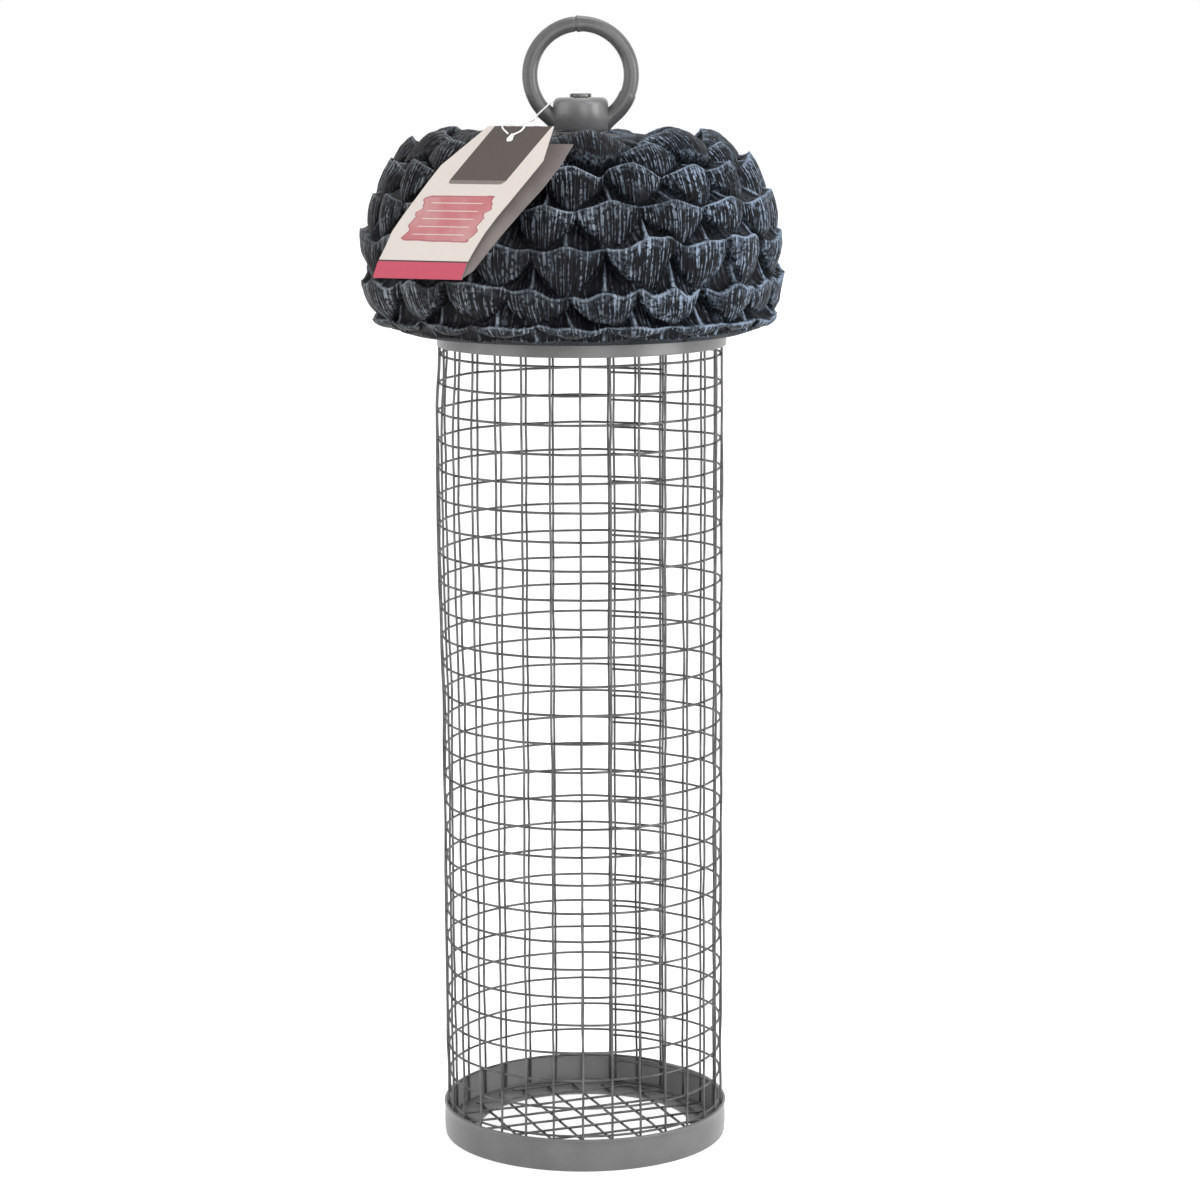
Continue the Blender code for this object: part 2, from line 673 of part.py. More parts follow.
def tag_place(share, lean, stand=0):
    """A point of a leaf, from its shares of width and height, with the leaf leaning back from the fold."""
    along = around(1, TAG_AZIMUTH + math.pi / 2)
    out = around(1, TAG_AZIMUTH)
    distance = CONE_RADIUS + abs(CONE_SIDE_SHIFT) + TAG_STANDOFF
    rise = share[1] * TAG_HEIGHT
    point = out * (distance - rise * math.sin(lean) + stand)
    point += along * (TAG_FOLD_SHIFT + share[0] * TAG_WIDTH)
    point.z = CONE_SEAT - TAG_DROP + rise * math.cos(lean)
    return point


def build_tag(parts, pivot, pivot_height, card, cotton):
    mesh = bpy.data.meshes.new("swing_tag")
    shape = bmesh.new()
    fold = [shape.verts.new(tag_place(share, 0)) for share in TAG_FRONT_SHARES[:2]]
    for shares, lean, turn in ((TAG_FRONT_SHARES, TAG_FRONT_LEAN, 1), (TAG_BACK_SHARES, TAG_BACK_LEAN, -1)):
        rest = [shape.verts.new(tag_place(share, lean)) for share in shares[2:]]
        shape.faces.new((fold + rest)[::turn])
    shape.to_mesh(mesh)
    shape.free()
    tag = new_object("swing_tag", mesh, parts, card)
    thicken = tag.modifiers.new("card", "SOLIDIFY")
    thicken.thickness = TAG_CARD
    thicken.offset = 0
    seat(tag, pivot, 0, pivot_height)

    bead = bmesh.new()
    bmesh.ops.create_uvsphere(bead, u_segments=KNOT_COLUMNS, v_segments=KNOT_ROWS, radius=KNOT_RADIUS)
    bmesh.ops.scale(bead, verts=bead.verts, vec=(1, 1, KNOT_LENGTH / KNOT_RADIUS / 2))
    mesh = bpy.data.meshes.new("string_knot")
    bead.to_mesh(mesh)
    bead.free()
    knot = new_object("string_knot", mesh, parts, cotton)
    stand = TAG_CARD / 2 + KNOT_RADIUS + SEAT_GAP
    place = tag_place(TAG_HOLE_SHARE, TAG_FRONT_LEAN, stand)
    seat(knot, pivot, place.z, pivot_height)
    knot.location.xy = place.xy
    knot.rotation_euler.y = KNOT_LEAN

    loop = smooth_points(STRING_ROUTE, STRING_POINT_COUNT)
    string = wires("tag_string", [loop], STRING_RADIUS, parts, cotton, 2)
    seat(string, pivot, 0, pivot_height)


def main():
    clear_scene()
    parts = new_collection("wire_mesh_bird_feeder")
    cutters = new_collection("cutters")
    steel = new_material("mesh_steel", (0.20, 0.20, 0.20), 0.45, 0.8)
    paint = new_material("grey_paint", (0.21, 0.21, 0.21), 0.38, 0.5)
    resin = new_material("painted_resin", (0.018, 0.020, 0.030), 0.55, 0)
    zinc = new_material("dark_zinc", (0.12, 0.12, 0.12), 0.40, 0.9)
    card = new_material("cream_card", (0.80, 0.74, 0.68), 0.70, 0)
    cotton = new_material("white_cotton", (0.85, 0.85, 0.85), 0.80, 0)

    cage_pivot = new_pivot("cage", 0, parts)
    lid_pivot = new_pivot("lid_axis", PAN_BASE, parts, cage_pivot)
    hanger_pivot = new_pivot("hanger_axis", HUB_BASE - PAN_BASE, parts, lid_pivot)

    build_cup(parts, cage_pivot, paint)
    build_floor(parts, cutters, cage_pivot, steel)
    build_cage(parts, cutters, cage_pivot, steel)
    build_collar(parts, cutters, cage_pivot, paint)
    build_pan(parts, cutters, lid_pivot, PAN_BASE, paint)
    build_cone(parts, cutters, lid_pivot, PAN_BASE, resin)
    build_fixings(parts, cutters, lid_pivot, PAN_BASE, paint, zinc)
    build_hanger(parts, cutters, hanger_pivot, HUB_BASE, paint)
    build_tag(parts, hanger_pivot, HUB_BASE, card, cotton)


main()
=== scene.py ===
"""Looks of a wire mesh bird feeder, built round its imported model, in metres with +Z up.

Each sub-assembly is a class that holds its sizes, builds its meshes and dresses them. Azimuths are measured
from the front, which faces -Y, and grow towards +X. Heights are above the surface that the feeder stands on.
"""

from __future__ import annotations

import logging
import math
from dataclasses import dataclass
from enum import Enum
from typing import Any, Callable, Sequence

import bmesh
import bpy
import numpy as np
from mathutils import Matrix, Vector, noise


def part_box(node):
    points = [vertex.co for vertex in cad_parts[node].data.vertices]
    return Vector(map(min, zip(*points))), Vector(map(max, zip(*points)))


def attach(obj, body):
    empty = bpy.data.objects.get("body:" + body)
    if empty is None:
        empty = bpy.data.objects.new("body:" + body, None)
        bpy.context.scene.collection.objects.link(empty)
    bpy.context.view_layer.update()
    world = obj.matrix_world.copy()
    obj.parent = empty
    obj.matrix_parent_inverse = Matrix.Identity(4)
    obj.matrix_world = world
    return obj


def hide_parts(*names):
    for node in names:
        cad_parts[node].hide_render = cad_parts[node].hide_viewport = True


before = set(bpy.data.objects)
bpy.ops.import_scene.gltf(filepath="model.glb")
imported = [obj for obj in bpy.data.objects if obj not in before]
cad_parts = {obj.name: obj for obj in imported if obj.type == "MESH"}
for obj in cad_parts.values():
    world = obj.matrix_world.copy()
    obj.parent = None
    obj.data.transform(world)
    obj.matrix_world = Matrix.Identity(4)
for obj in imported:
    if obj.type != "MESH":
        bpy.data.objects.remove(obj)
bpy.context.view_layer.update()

log = logging.getLogger("bird_feeder")

Colour = tuple[float, float, float]
Outline = Sequence[tuple[float, float]]
Place = tuple[float, float, float]

MERGE_DISTANCE = 0.000002
WIRE_SIDES = 8


class Body(Enum):
    """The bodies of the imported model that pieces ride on."""

    CAGE = "cage"
    LID = "lid"
    HANGER = "hanger"


class Slot(Enum):
    """The record's material slots."""

    MESH_STEEL = "mesh_steel"
    GREY_PAINT = "grey_paint"
    PAINTED_RESIN = "painted_resin"
    DARK_ZINC = "dark_zinc"
    CREAM_CARD = "cream_card"
    WHITE_COTTON = "white_cotton"


# Node trees written as expressions


def adds_math(operation: str, swapped: bool = False) -> Callable[..., Term]:
    """A method of a term that adds one Math node.

    Args:
        operation: The node's operation.
        swapped: Whether the term comes last, as a reflected operator has it.

    Returns:
        The method.
    """

    def method(term: Term, *others: Value) -> Term:
        """Adds the node on the term and other values."""
        return term.bench.math(operation, *((*others, term) if swapped else (term, *others)))

    return method


class Term:
    """A value in a node tree. Its operators and functions add Math nodes to the tree."""

    __add__ = __radd__ = adds_math("ADD")
    __sub__ = adds_math("SUBTRACT")
    __rsub__ = adds_math("SUBTRACT", swapped=True)
    __mul__ = __rmul__ = adds_math("MULTIPLY")
    __truediv__ = adds_math("DIVIDE")
    __rtruediv__ = adds_math("DIVIDE", swapped=True)
    __lt__ = adds_math("LESS_THAN")
    __gt__ = adds_math("GREATER_THAN")
    __abs__ = adds_math("ABSOLUTE")
    most = adds_math("MAXIMUM")
    least = adds_math("MINIMUM")
    root = adds_math("SQRT")
    sine = adds_math("SINE")
    cosine = adds_math("COSINE")
    fraction = adds_math("FRACT")

    def __init__(self, bench: NodeBench, socket: bpy.types.NodeSocket) -> None:
        """Wraps a socket.

        Args:
            bench: The tree that the socket belongs to.
            socket: The output that carries the value.
        """
        self.bench = bench
        self.socket = socket

    def clamp(self) -> Term:
        """The term kept between 0 and 1."""
        return self.most(0.0).least(1.0)

    def ramp(self, low: float, high: float) -> Term:
        """A smooth step.

        Args:
            low: Where it leaves 0.
            high: Where it reaches 1.

        Returns:
            The step's value.
        """
        share = ((self - low) / (high - low)).clamp()
        return share * share * (3.0 - 2.0 * share)


Value = Term | float


class NodeBench:
    """Adds nodes to one tree, of a material or of Geometry Nodes."""

    def __init__(self, tree: bpy.types.NodeTree) -> None:
        """Takes the tree to work on."""
        self.tree = tree

    def feed(self, socket: bpy.types.NodeSocket, value: Any) -> None:
        """Links a term or socket to an input, or sets a plain value on it.

        Args:
            socket: The input.
            value: The term, socket or value.
        """
        if isinstance(value, Term):
            self.tree.links.new(value.socket, socket)
        elif isinstance(value, bpy.types.NodeSocket):
            self.tree.links.new(value, socket)
        else:
            socket.default_value = value

    def add(self, kind: str, settings: dict[str, Any] | None = None, **inputs: Any) -> bpy.types.Node:
        """Adds one node.

        Args:
            kind: The node's type.
            settings: Its own options, set before its inputs.
            inputs: Values or links by socket name, with _ for a space, or by number as in i0.

        Returns:
            The node.
        """
        node = self.tree.nodes.new(kind)
        for name, value in (settings or {}).items():
            setattr(node, name, value)
        for name, value in inputs.items():
            numbered = name[0] == "i" and name[1:].isdigit()
            self.feed(node.inputs[int(name[1:]) if numbered else name.replace("_", " ")], value)
        return node

    def term(self, node: bpy.types.Node, output: int | str = 0) -> Term:
        """One output of a node as a term."""
        return Term(self, node.outputs[output])

    def math(self, operation: str, *values: Value) -> Term:
        """A Math node on terms and numbers."""
        inputs = {f"i{k}": value for k, value in enumerate(values)}
        return self.term(self.add("ShaderNodeMath", {"operation": operation}, **inputs))

    def vector(self, x: Value, y: Value, z: Value) -> Term:
        """A vector from its three parts."""
        return self.term(self.add("ShaderNodeCombineXYZ", X=x, Y=y, Z=z))

    def parts(self, vector: Term) -> tuple[Term, Term, Term]:
        """The three parts of a vector."""
        node = self.add("ShaderNodeSeparateXYZ", Vector=vector)
        return self.term(node, 0), self.term(node, 1), self.term(node, 2)


class MaterialBench(NodeBench):
    """The nodes of one material with a Principled shader."""

    def __init__(self, name: str) -> None:
        """Starts a material.

        Args:
            name: The material's name.
        """
        self.material = bpy.data.materials.new(name)
        self.material.use_nodes = True
        super().__init__(self.material.node_tree)
        self.shader = self.tree.nodes["Principled BSDF"]

    def place(self) -> Term:
        """Position on the piece, in metres."""
        return self.term(self.add("ShaderNodeTexCoord"), "Object")

    def attribute(self, name: str, output: str = "Fac") -> Term:
        """A number or vector kept on the mesh's points."""
        return self.term(self.add("ShaderNodeAttribute", {"attribute_name": name}), output)

    def cloud(self, vector: Term, size: float, detail: float = 2.0, roughness: float = 0.5) -> Term:
        """Noise from 0 to 1.

        Args:
            vector: Where it is read.
            size: Width of its patches, in the vector's units.
            detail: Octaves.
            roughness: Weight of the finer octaves.

        Returns:
            The noise.
        """
        inputs = {"Vector": vector, "Scale": 1.0 / size, "Detail": detail, "Roughness": roughness}
        return self.term(self.add("ShaderNodeTexNoise", **inputs), "Fac")

    def cells(self, vector: Term, size: float) -> Term:
        """Distance to the nearest of scattered points, in cell sizes."""
        return self.term(self.add("ShaderNodeTexVoronoi", Vector=vector, Scale=1.0 / size), "Distance")

    def blend(self, share: Value, first: Any, second: Any) -> Term:
        """A colour between two, by a share.

        Args:
            share: 0 for the first and 1 for the second.
            first: A colour.
            second: Another.

        Returns:
            The colour.
        """
        ends = [(*c, 1.0) if isinstance(c, tuple) else c for c in (first, second)]
        node = self.add("ShaderNodeMix", {"data_type": "RGBA"}, i0=share, i6=ends[0], i7=ends[1])
        return self.term(node, 2)

    def bump(self, height: Term, depth: float, under: Term | None = None) -> Term:
        """A normal that follows a height.

        Args:
            height: Height from 0 to 1.
            depth: What 1 stands for, in metres.
            under: A normal from another bump below this one.

        Returns:
            The bent normal.
        """
        inputs: dict[str, Any] = {"Strength": 1.0, "Distance": depth, "Height": height}
        if under is not None:
            inputs["Normal"] = under
        return self.term(self.add("ShaderNodeBump", **inputs))

    def finish(self, **inputs: Any) -> bpy.types.Material:
        """Feeds the shader and gives the material.

        Args:
            inputs: Values or links by the shader's socket names, with _ for a space.

        Returns:
            The material.
        """
        for name, value in inputs.items():
            socket = self.shader.inputs[name.replace("_", " ")]
            self.feed(socket, (*value, 1.0) if isinstance(value, tuple) and len(value) == 3 else value)
        return self.material


# Finishes


def tinted(colour: Colour, share: float) -> Colour:
    """A colour times a share."""
    return tuple(part * share for part in colour)


@dataclass(frozen=True)
class GreyCoat:
    """Satin grey paint on steel: mottled a little, with orange peel and fine pale specks, and lightened
    within a radius as painted light.
    """

    name: str
    colour: Colour
    roughness: float = 0.32
    # Painted light: within this radius the colour is made lighter, to brighten the cup's shaded inside
    painted_light_radius: float = 0.0
    shade_share: float = 0.10
    metallic: float = 0.12
    gloss: float = 0.16
    gloss_roughness: float = 0.28
    patch: float = 0.009
    peel: float = 0.0007
    peel_depth: float = 0.000006
    speck: float = 0.0022
    speck_share: float = 0.10
    speck_tint: float = 1.9
    painted_light_share: float = 0.90
    painted_light_tint: float = 1.95

    def material(self) -> bpy.types.Material:
        """Builds the material."""
        bench = MaterialBench(self.name)
        place = bench.place()
        mottle = bench.cloud(place, self.patch, detail=3.0)
        grain = bench.cloud(place, self.peel, detail=1.0)
        specks = 1.0 - bench.cells(place, self.speck).ramp(0.05, 0.11)
        dark, light = (tinted(self.colour, 1.0 + side * self.shade_share) for side in (-1, 1))
        colour = bench.blend(mottle.ramp(0.3, 0.7), dark, light)
        speckled = specks * mottle.ramp(0.5, 0.65) * self.speck_share
        colour = bench.blend(speckled, colour, tinted(self.colour, self.speck_tint))
        # Painted light: points inside the radius are blended towards a lighter grey, lifting the shade
        # inside the cup
        if self.painted_light_radius:
            x, y, _ = bench.parts(place)
            inside = (x * x + y * y).root() < self.painted_light_radius
            colour = bench.blend(inside * self.painted_light_share, colour, tinted(self.colour, self.painted_light_tint))
        return bench.finish(
            Base_Color=colour,
            Metallic=self.metallic,
            Roughness=self.roughness + (mottle - 0.5) * 0.16 + (grain - 0.5) * 0.08,
            Coat_Weight=self.gloss,
            Coat_Roughness=self.gloss_roughness,
            Normal=bench.bump(grain + specks * 0.3, self.peel_depth),
        )


@dataclass(frozen=True)
class WireCoat:
    """The same grey on thin welded wire, darker, with drawn streaks and lumps of coating."""

    name: str
    colour: Colour = (0.098, 0.097, 0.098)
    dark_tint: float = 0.66
    light_tint: float = 1.45
    metallic: float = 0.45
    roughness: float = 0.34
    streak: float = 0.006
    lump: float = 0.0009
    lump_depth: float = 0.00005

    def material(self) -> bpy.types.Material:
        """Builds the material."""
        bench = MaterialBench(self.name)
        place = bench.place()
        streaks = bench.cloud(place, self.streak, detail=3.0)
        lumps = bench.cloud(place, self.lump)
        dark, light = (tinted(self.colour, tint) for tint in (self.dark_tint, self.light_tint))
        return bench.finish(
            Base_Color=bench.blend(streaks.ramp(0.32, 0.68), dark, light),
            Metallic=self.metallic,
            Roughness=self.roughness + (streaks - 0.5) * 0.3,
            Normal=bench.bump(lumps, self.lump_depth),
        )


@dataclass(frozen=True)
class BrushedResin:
    """Near black cast resin, dry brushed pale on its ridges, its keels and the ribs of its fronts, with
    painted shade in its hollows and painted light that makes the brushing paler, bluer and heavier on its
    right side.
    """

    name: str
    row_height: float
    dark: Colour = (0.0058, 0.0058, 0.0078)
    # Painted shade for the hollows, darker than the ground
    recess_shade: Colour = (0.0040, 0.0040, 0.0050)
    # Painted light: the brushing's pale as it looks on the shaded left and on the lit right
    pale_shaded_left: Colour = (0.285, 0.310, 0.340)
    pale_lit_right: Colour = (0.275, 0.350, 0.465)
    rib_pitch: float = 0.00128
    rib_depth: float = 0.00022
    rib_parting: float = 22.0
    rib_wander: float = 0.0024
    wander_reach: float = 2.4
    rib_width: float = 0.0007
    width_reach: float = 3.6
    # Where the brushed line along a ridge begins and ends to fade
    lip_fade: tuple[float, float] = (0.00008, 0.00046)
    front_weight: float = 0.90
    lip_weight: float = 0.90
    keel_weight: float = 0.75
    raised_weight: float = 0.32
    smear_weight: float = 0.20
    fleck_weight: float = 0.10
    roughness: float = 0.44
    patch: float = 0.012
    blotch: float = 0.0038
    pit: float = 0.0010
    pit_depth: float = 0.00010

    def material(self, middle: float) -> bpy.types.Material:
        """Builds the material.

        Args:
            middle: Where the lid's middle lies along X.

        Returns:
            The material.
        """
        bench = MaterialBench(self.name)
        place = bench.place()
        x, y, _ = bench.parts(place)
        x = x - middle
        # Across the lid, from -1 on the left to 1 on the right, which drives the painted light below
        side = x / (x * x + y * y + 1e-9).root()
        across, down, number = bench.parts(bench.attribute("stroke", "Vector"))
        front, sunk = bench.attribute("front"), bench.attribute("sunk")
        patch = bench.cloud(place, self.patch)
        pits = bench.cloud(place, self.pit, detail=3.0, roughness=0.6)

        # Ribs that part as they run down a front, each at its own width
        spread = across / (1.0 - down * self.rib_parting).most(0.5)
        flow = bench.vector(spread, down * 0.12, number)
        wander = bench.cloud(flow, self.rib_wander, detail=1.0)
        lane = spread / self.rib_pitch + wander * self.wander_reach + number
        offset = abs(lane.fraction() - 0.5) * 2.0
        width = bench.cloud(flow, self.rib_width)
        ribs = 1.0 - (offset - (width - 0.49) * self.width_reach).ramp(0.0, 0.32)
        fade = (1.12 - down * (0.80 / self.row_height)).clamp()
        ribs = ribs * fade * pits.ramp(0.38, 0.56)

        # Brushed edges: the ridge's lip, its keel and what stands out
        wavering = abs(down + (pits - 0.5) * 0.0008)
        blotch = bench.cloud(place, self.blotch).ramp(0.36, 0.60)
        lip = bench.attribute("lip").ramp(0.12, 0.45) * (1.0 - wavering.ramp(*self.lip_fade))
        lip = lip * (0.30 + blotch * 0.70)
        keel = bench.attribute("keel").ramp(0.42, 0.85) * (0.40 + pits.ramp(0.36, 0.55) * 0.60)
        raised = bench.attribute("raised").ramp(0.35, 0.85) * pits.ramp(0.40, 0.62)
        smears = ribs * (1.0 - front) * self.smear_weight
        smears = smears + pits.ramp(0.60, 0.72) * self.fleck_weight * (1.0 - sunk)
        # Painted light: the brushing is heavier on the right side, where the light falls
        weight = 0.44 + patch.ramp(0.36, 0.64) * 0.70 + side * 0.20
        share = front * ribs * self.front_weight + lip * self.lip_weight
        share = share + keel * self.keel_weight + raised * self.raised_weight
        share = ((share + smears) * weight).clamp()
        # Painted shade: the ground darkens to recess_shade where the surface lies deep
        ground = bench.blend(sunk.ramp(0.25, 1.0), self.dark, self.recess_shade)
        # Painted light: the pale turns paler and bluer from the shaded left to the lit right
        pale = bench.blend((side * 0.8 + 0.45).clamp(), self.pale_shaded_left, self.pale_lit_right)
        height = (1.0 - offset * offset) * (0.35 + front * 0.65) + width * 0.5
        return bench.finish(
            Base_Color=bench.blend(share, ground, pale),
            Roughness=self.roughness + share * 0.30 + (pits - 0.5) * 0.20,
            Specular_IOR_Level=0.10,
            Normal=bench.bump(height, self.rib_depth, bench.bump(pits, self.pit_depth)),
        )


@dataclass(frozen=True)
class DarkPlate:
    """Dark zinc plating with a faint cloudy tint."""

    name: str
    colour: Colour = (0.10, 0.10, 0.10)
    tint: Colour = (0.17, 0.168, 0.162)
    metallic: float = 0.9
    roughness: float = 0.34
    patch: float = 0.0035
    grain: float = 0.0004
    grain_depth: float = 0.000012

    def material(self) -> bpy.types.Material:
        """Builds the material."""
        bench = MaterialBench(self.name)
        place = bench.place()
        clouds = bench.cloud(place, self.patch, detail=3.0)
        grain = bench.cloud(place, self.grain)
        return bench.finish(
            Base_Color=bench.blend(clouds.ramp(0.35, 0.7), self.colour, self.tint),
            Metallic=self.metallic,
            Roughness=self.roughness + (grain - 0.5) * 0.3,
            Normal=bench.bump(grain, self.grain_depth),
        )


class CardFace(Enum):
    """Which side of the tag a material covers."""

    PRINTED = "printed"
    PLAIN = "plain"


@dataclass(frozen=True)
class TagCard:
    """Uncoated cream card. The printed side has a dark plain panel, a pink panel and a pink foot. The plain
    side is painted in shade, a dark grey far below the paper's cream.
    """

    name: str
    face: CardFace
    paper: Colour = (0.770, 0.700, 0.648)
    # Painted shade: the plain side's colour, a dark grey that stands in for the shade on the back leaf
    inside: Colour = (0.213, 0.187, 0.182)
    panel: Colour = (0.105, 0.088, 0.080)
    band: Colour = (0.235, 0.205, 0.19)
    pink: Colour = (0.580, 0.095, 0.145)
    wash: Colour = (0.53, 0.135, 0.160)
    line: Colour = (0.10, 0.055, 0.06)
    # Left, right, low and high shares of the card, and the corners' radius
    panel_box: tuple[float, ...] = (0.185, 0.795, 0.605, 1.30, 0.045)
    wash_box: tuple[float, ...] = (0.06, 0.81, 0.222, 0.560, 0.05)
    rim_box: tuple[float, ...] = (0.075, 0.795, 0.232, 0.550, 0.05)
    band_top: float = 0.645
    foot_top: float = 0.105
    rule_pitch: float = 0.052
    fibre: float = 0.00035
    fibre_depth: float = 0.00001
    stain: float = 0.0077

    @staticmethod
    def _rounded(u: Term, v: Term, box: tuple[float, ...]) -> Term:
        """A mask over a box with round corners.

        Args:
            u: Share of the card's width.
            v: Share of the card's height.
            box: Left, right, low and high shares, and the corner's radius.

        Returns:
            1 inside and 0 outside.
        """
        left, right, low, high, corner = box
        dx = (abs(u - (left + right) / 2) - ((right - left) / 2 - corner)).most(0.0)
        dy = (abs(v - (low + high) / 2) - ((high - low) / 2 - corner)).most(0.0) * 1.5
        return (dx * dx + dy * dy).root() < corner

    def material(self) -> bpy.types.Material:
        """Builds the material."""
        bench = MaterialBench(self.name)
        place = bench.place()
        fibres = bench.cloud(place, self.fibre, detail=3.0)
        stain = bench.cloud(place, self.stain)
        # Painted shade: the plain side takes the dark inside colour, barely stained towards the paper
        if self.face is CardFace.PLAIN:
            colour = bench.blend(stain.ramp(0.3, 0.7) * 0.10, self.inside, self.paper)
        else:
            colour = self._print(bench, fibres, stain)
        return bench.finish(
            Base_Color=colour,
            Roughness=0.62 + (fibres - 0.5) * 0.2,
            Specular_IOR_Level=0.35,
            Normal=bench.bump(fibres, self.fibre_depth),
        )

    def _print(self, bench: MaterialBench, fibres: Term, stain: Term) -> Term:
        """The printed side's colour, from the card's own map.

        Args:
            bench: The material's nodes.
            fibres: Fine noise.
            stain: Coarser noise.

        Returns:
            The colour.
        """
        card = bench.term(bench.add("ShaderNodeUVMap", {"uv_map": "card"}))
        u, v, _ = bench.parts(card)
        lean = u - (v - 0.61) * 0.36
        panel = self._rounded(lean, v, self.panel_box)
        band = panel * (v < self.band_top)
        ragged = u + (bench.cloud(bench.vector(0.0, v, 0.0), 0.055) - 0.5) * 0.16
        ragged_height = v + (stain - 0.5) * 0.03
        wash = self._rounded(ragged, ragged_height, self.wash_box)
        rules = wash * (abs((v / self.rule_pitch).fraction() - 0.5) < 0.06) * (abs(u - 0.43) < 0.28)
        rim = 1.0 - self._rounded(ragged, ragged_height, self.rim_box)
        edge = abs(v - (self.foot_top + 0.003)) < 0.005
        colour = bench.blend(stain.ramp(0.3, 0.8) * 0.35, self.paper, tinted(self.paper, 0.93))
        worn = stain.ramp(0.35, 0.7) * 0.22 + fibres.ramp(0.3, 0.75) * 0.10
        washed = bench.blend(rim * 0.6, bench.blend(worn, self.wash, self.paper), tinted(self.wash, 0.62))
        colour = bench.blend(wash * 0.94, colour, washed)
        colour = bench.blend(rules * 0.8, colour, self.paper)
        colour = bench.blend(panel, colour, self.panel)
        colour = bench.blend(band, colour, self.band)
        colour = bench.blend(v < self.foot_top, colour, self.pink)
        return bench.blend(edge, colour, self.line)


@dataclass(frozen=True)
class CottonThread:
    """White cotton, with loose fibres, a soft sheen and a painted glow."""

    name: str
    colour: Colour = (0.95, 0.95, 0.94)
    fibre: float = 0.00012
    fibre_depth: float = 0.00003
    # Painted light: the thread glows, which keeps it white against the white surround
    glow: float = 0.30

    def material(self) -> bpy.types.Material:
        """Builds the material."""
        bench = MaterialBench(self.name)
        place = bench.place()
        fibres = bench.cloud(place, self.fibre, detail=3.0)
        colour = bench.blend(fibres.ramp(0.25, 0.6), tinted(self.colour, 0.90), self.colour)
        return bench.finish(
            Base_Color=colour,
            Roughness=0.85,
            Sheen_Weight=0.3,
            Emission_Color=(1.0, 1.0, 1.0),
            Emission_Strength=self.glow,
            Normal=bench.bump(fibres, self.fibre_depth),
        )


@dataclass(frozen=True)
class Finishes:
    """Every finish of the feeder, built once and shared by its pieces."""

    coat: bpy.types.Material
    pressed: bpy.types.Material
    band: bpy.types.Material
    rod: bpy.types.Material
    wire: bpy.types.Material
    plate: bpy.types.Material
    print_side: bpy.types.Material
    plain_side: bpy.types.Material
    cotton: bpy.types.Material

    @classmethod
    def make(cls) -> Finishes:
        """Builds the materials that need no sizes of a piece."""
        # The hub, cup, collar and ring coats are copies of one grey paint, each toned lighter or darker to
        # match how that part is lit: painted light and shade
        return cls(
            coat=GreyCoat("cast_grey_coat", (0.204, 0.204, 0.204)).material(),
            pressed=GreyCoat("pressed_grey_coat", (0.152, 0.152, 0.153), 0.34, 0.0385).material(),
            band=GreyCoat("band_grey_coat", (0.170, 0.170, 0.170)).material(),
            rod=GreyCoat("rod_grey_coat", (0.120, 0.120, 0.120)).material(),
            wire=WireCoat("wire_grey_coat").material(),
            plate=DarkPlate("dark_plating").material(),
            print_side=TagCard("tag_printed_side", CardFace.PRINTED).material(),
            plain_side=TagCard("tag_plain_side", CardFace.PLAIN).material(),
            cotton=CottonThread("white_thread").material(),
        )


# Meshes


def outward(azimuth: float) -> Vector:
    """The level direction at an azimuth from the front."""
    return Vector((math.sin(azimuth), -math.cos(azimuth), 0))


def smooth_step(share: np.ndarray) -> np.ndarray:
    """A smooth rise from 0 to 1 as the share does."""
    share = np.clip(share, 0.0, 1.0)
    return share * share * (3.0 - 2.0 * share)


def arc(centre: tuple[float, float], radius: float, start: float, end: float, count: int) -> Outline:
    """Points (radius, height) on an arc of a section, between angles in degrees from straight outwards."""
    angles = [math.radians(start + (end - start) * i / (count - 1)) for i in range(count)]
    return [(centre[0] + radius * math.cos(a), centre[1] + radius * math.sin(a)) for a in angles]


def spline(points: np.ndarray, places: np.ndarray) -> np.ndarray:
    """Points on the smooth curve that passes through others.

    Args:
        points: The points passed through, one a row.
        places: Where to read it, 0 at the first point and 1 more at each next one.

    Returns:
        One point for each place.
    """
    ends = np.vstack([2 * points[0] - points[1], points, 2 * points[-1] - points[-2]])
    spans = np.minimum(places.astype(int), len(points) - 2)
    t = (places - spans)[:, None]
    a, b, c, d = (ends[spans + k] for k in range(4))
    return (2 * b + (c - a) * t + (2 * a - 5 * b + 4 * c - d) * t**2 + (3 * b - a - 3 * c + d) * t**3) / 2


def close_mesh(mesh: bpy.types.Mesh) -> None:
    """Fills a mesh's open ends, joins points that lie on each other and turns its faces outwards.

    Args:
        mesh: The mesh, which is changed.
    """
    shape = bmesh.new()
    shape.from_mesh(mesh)
    bmesh.ops.holes_fill(shape, edges=[e for e in shape.edges if e.is_boundary], sides=0)
    bmesh.ops.remove_doubles(shape, verts=shape.verts, dist=MERGE_DISTANCE)
    if shape.calc_volume(signed=True) < 0:
        bmesh.ops.reverse_faces(shape, faces=shape.faces)
    shape.to_mesh(mesh)
    shape.free()


def new_object(name: str, data: bpy.types.ID) -> bpy.types.Object:
    """An object at the origin that holds a mesh, a lamp or a camera."""
    item = bpy.data.objects.new(name, data)
    bpy.context.scene.collection.objects.link(item)
    return item


def new_piece(name: str, mesh: bpy.types.Mesh, material: bpy.types.Material) -> bpy.types.Object:
    """An object at the origin that shows a mesh in one material."""
    mesh.materials.clear()
    mesh.materials.append(material)
    return new_object(name, mesh)


def shade(mesh: bpy.types.Mesh, angle: float = 40.0) -> None:
    """Shades a mesh smooth, apart from edges sharper than an angle in degrees."""
    mesh.shade_smooth()
    mesh.set_sharp_from_angle(angle=math.radians(angle))


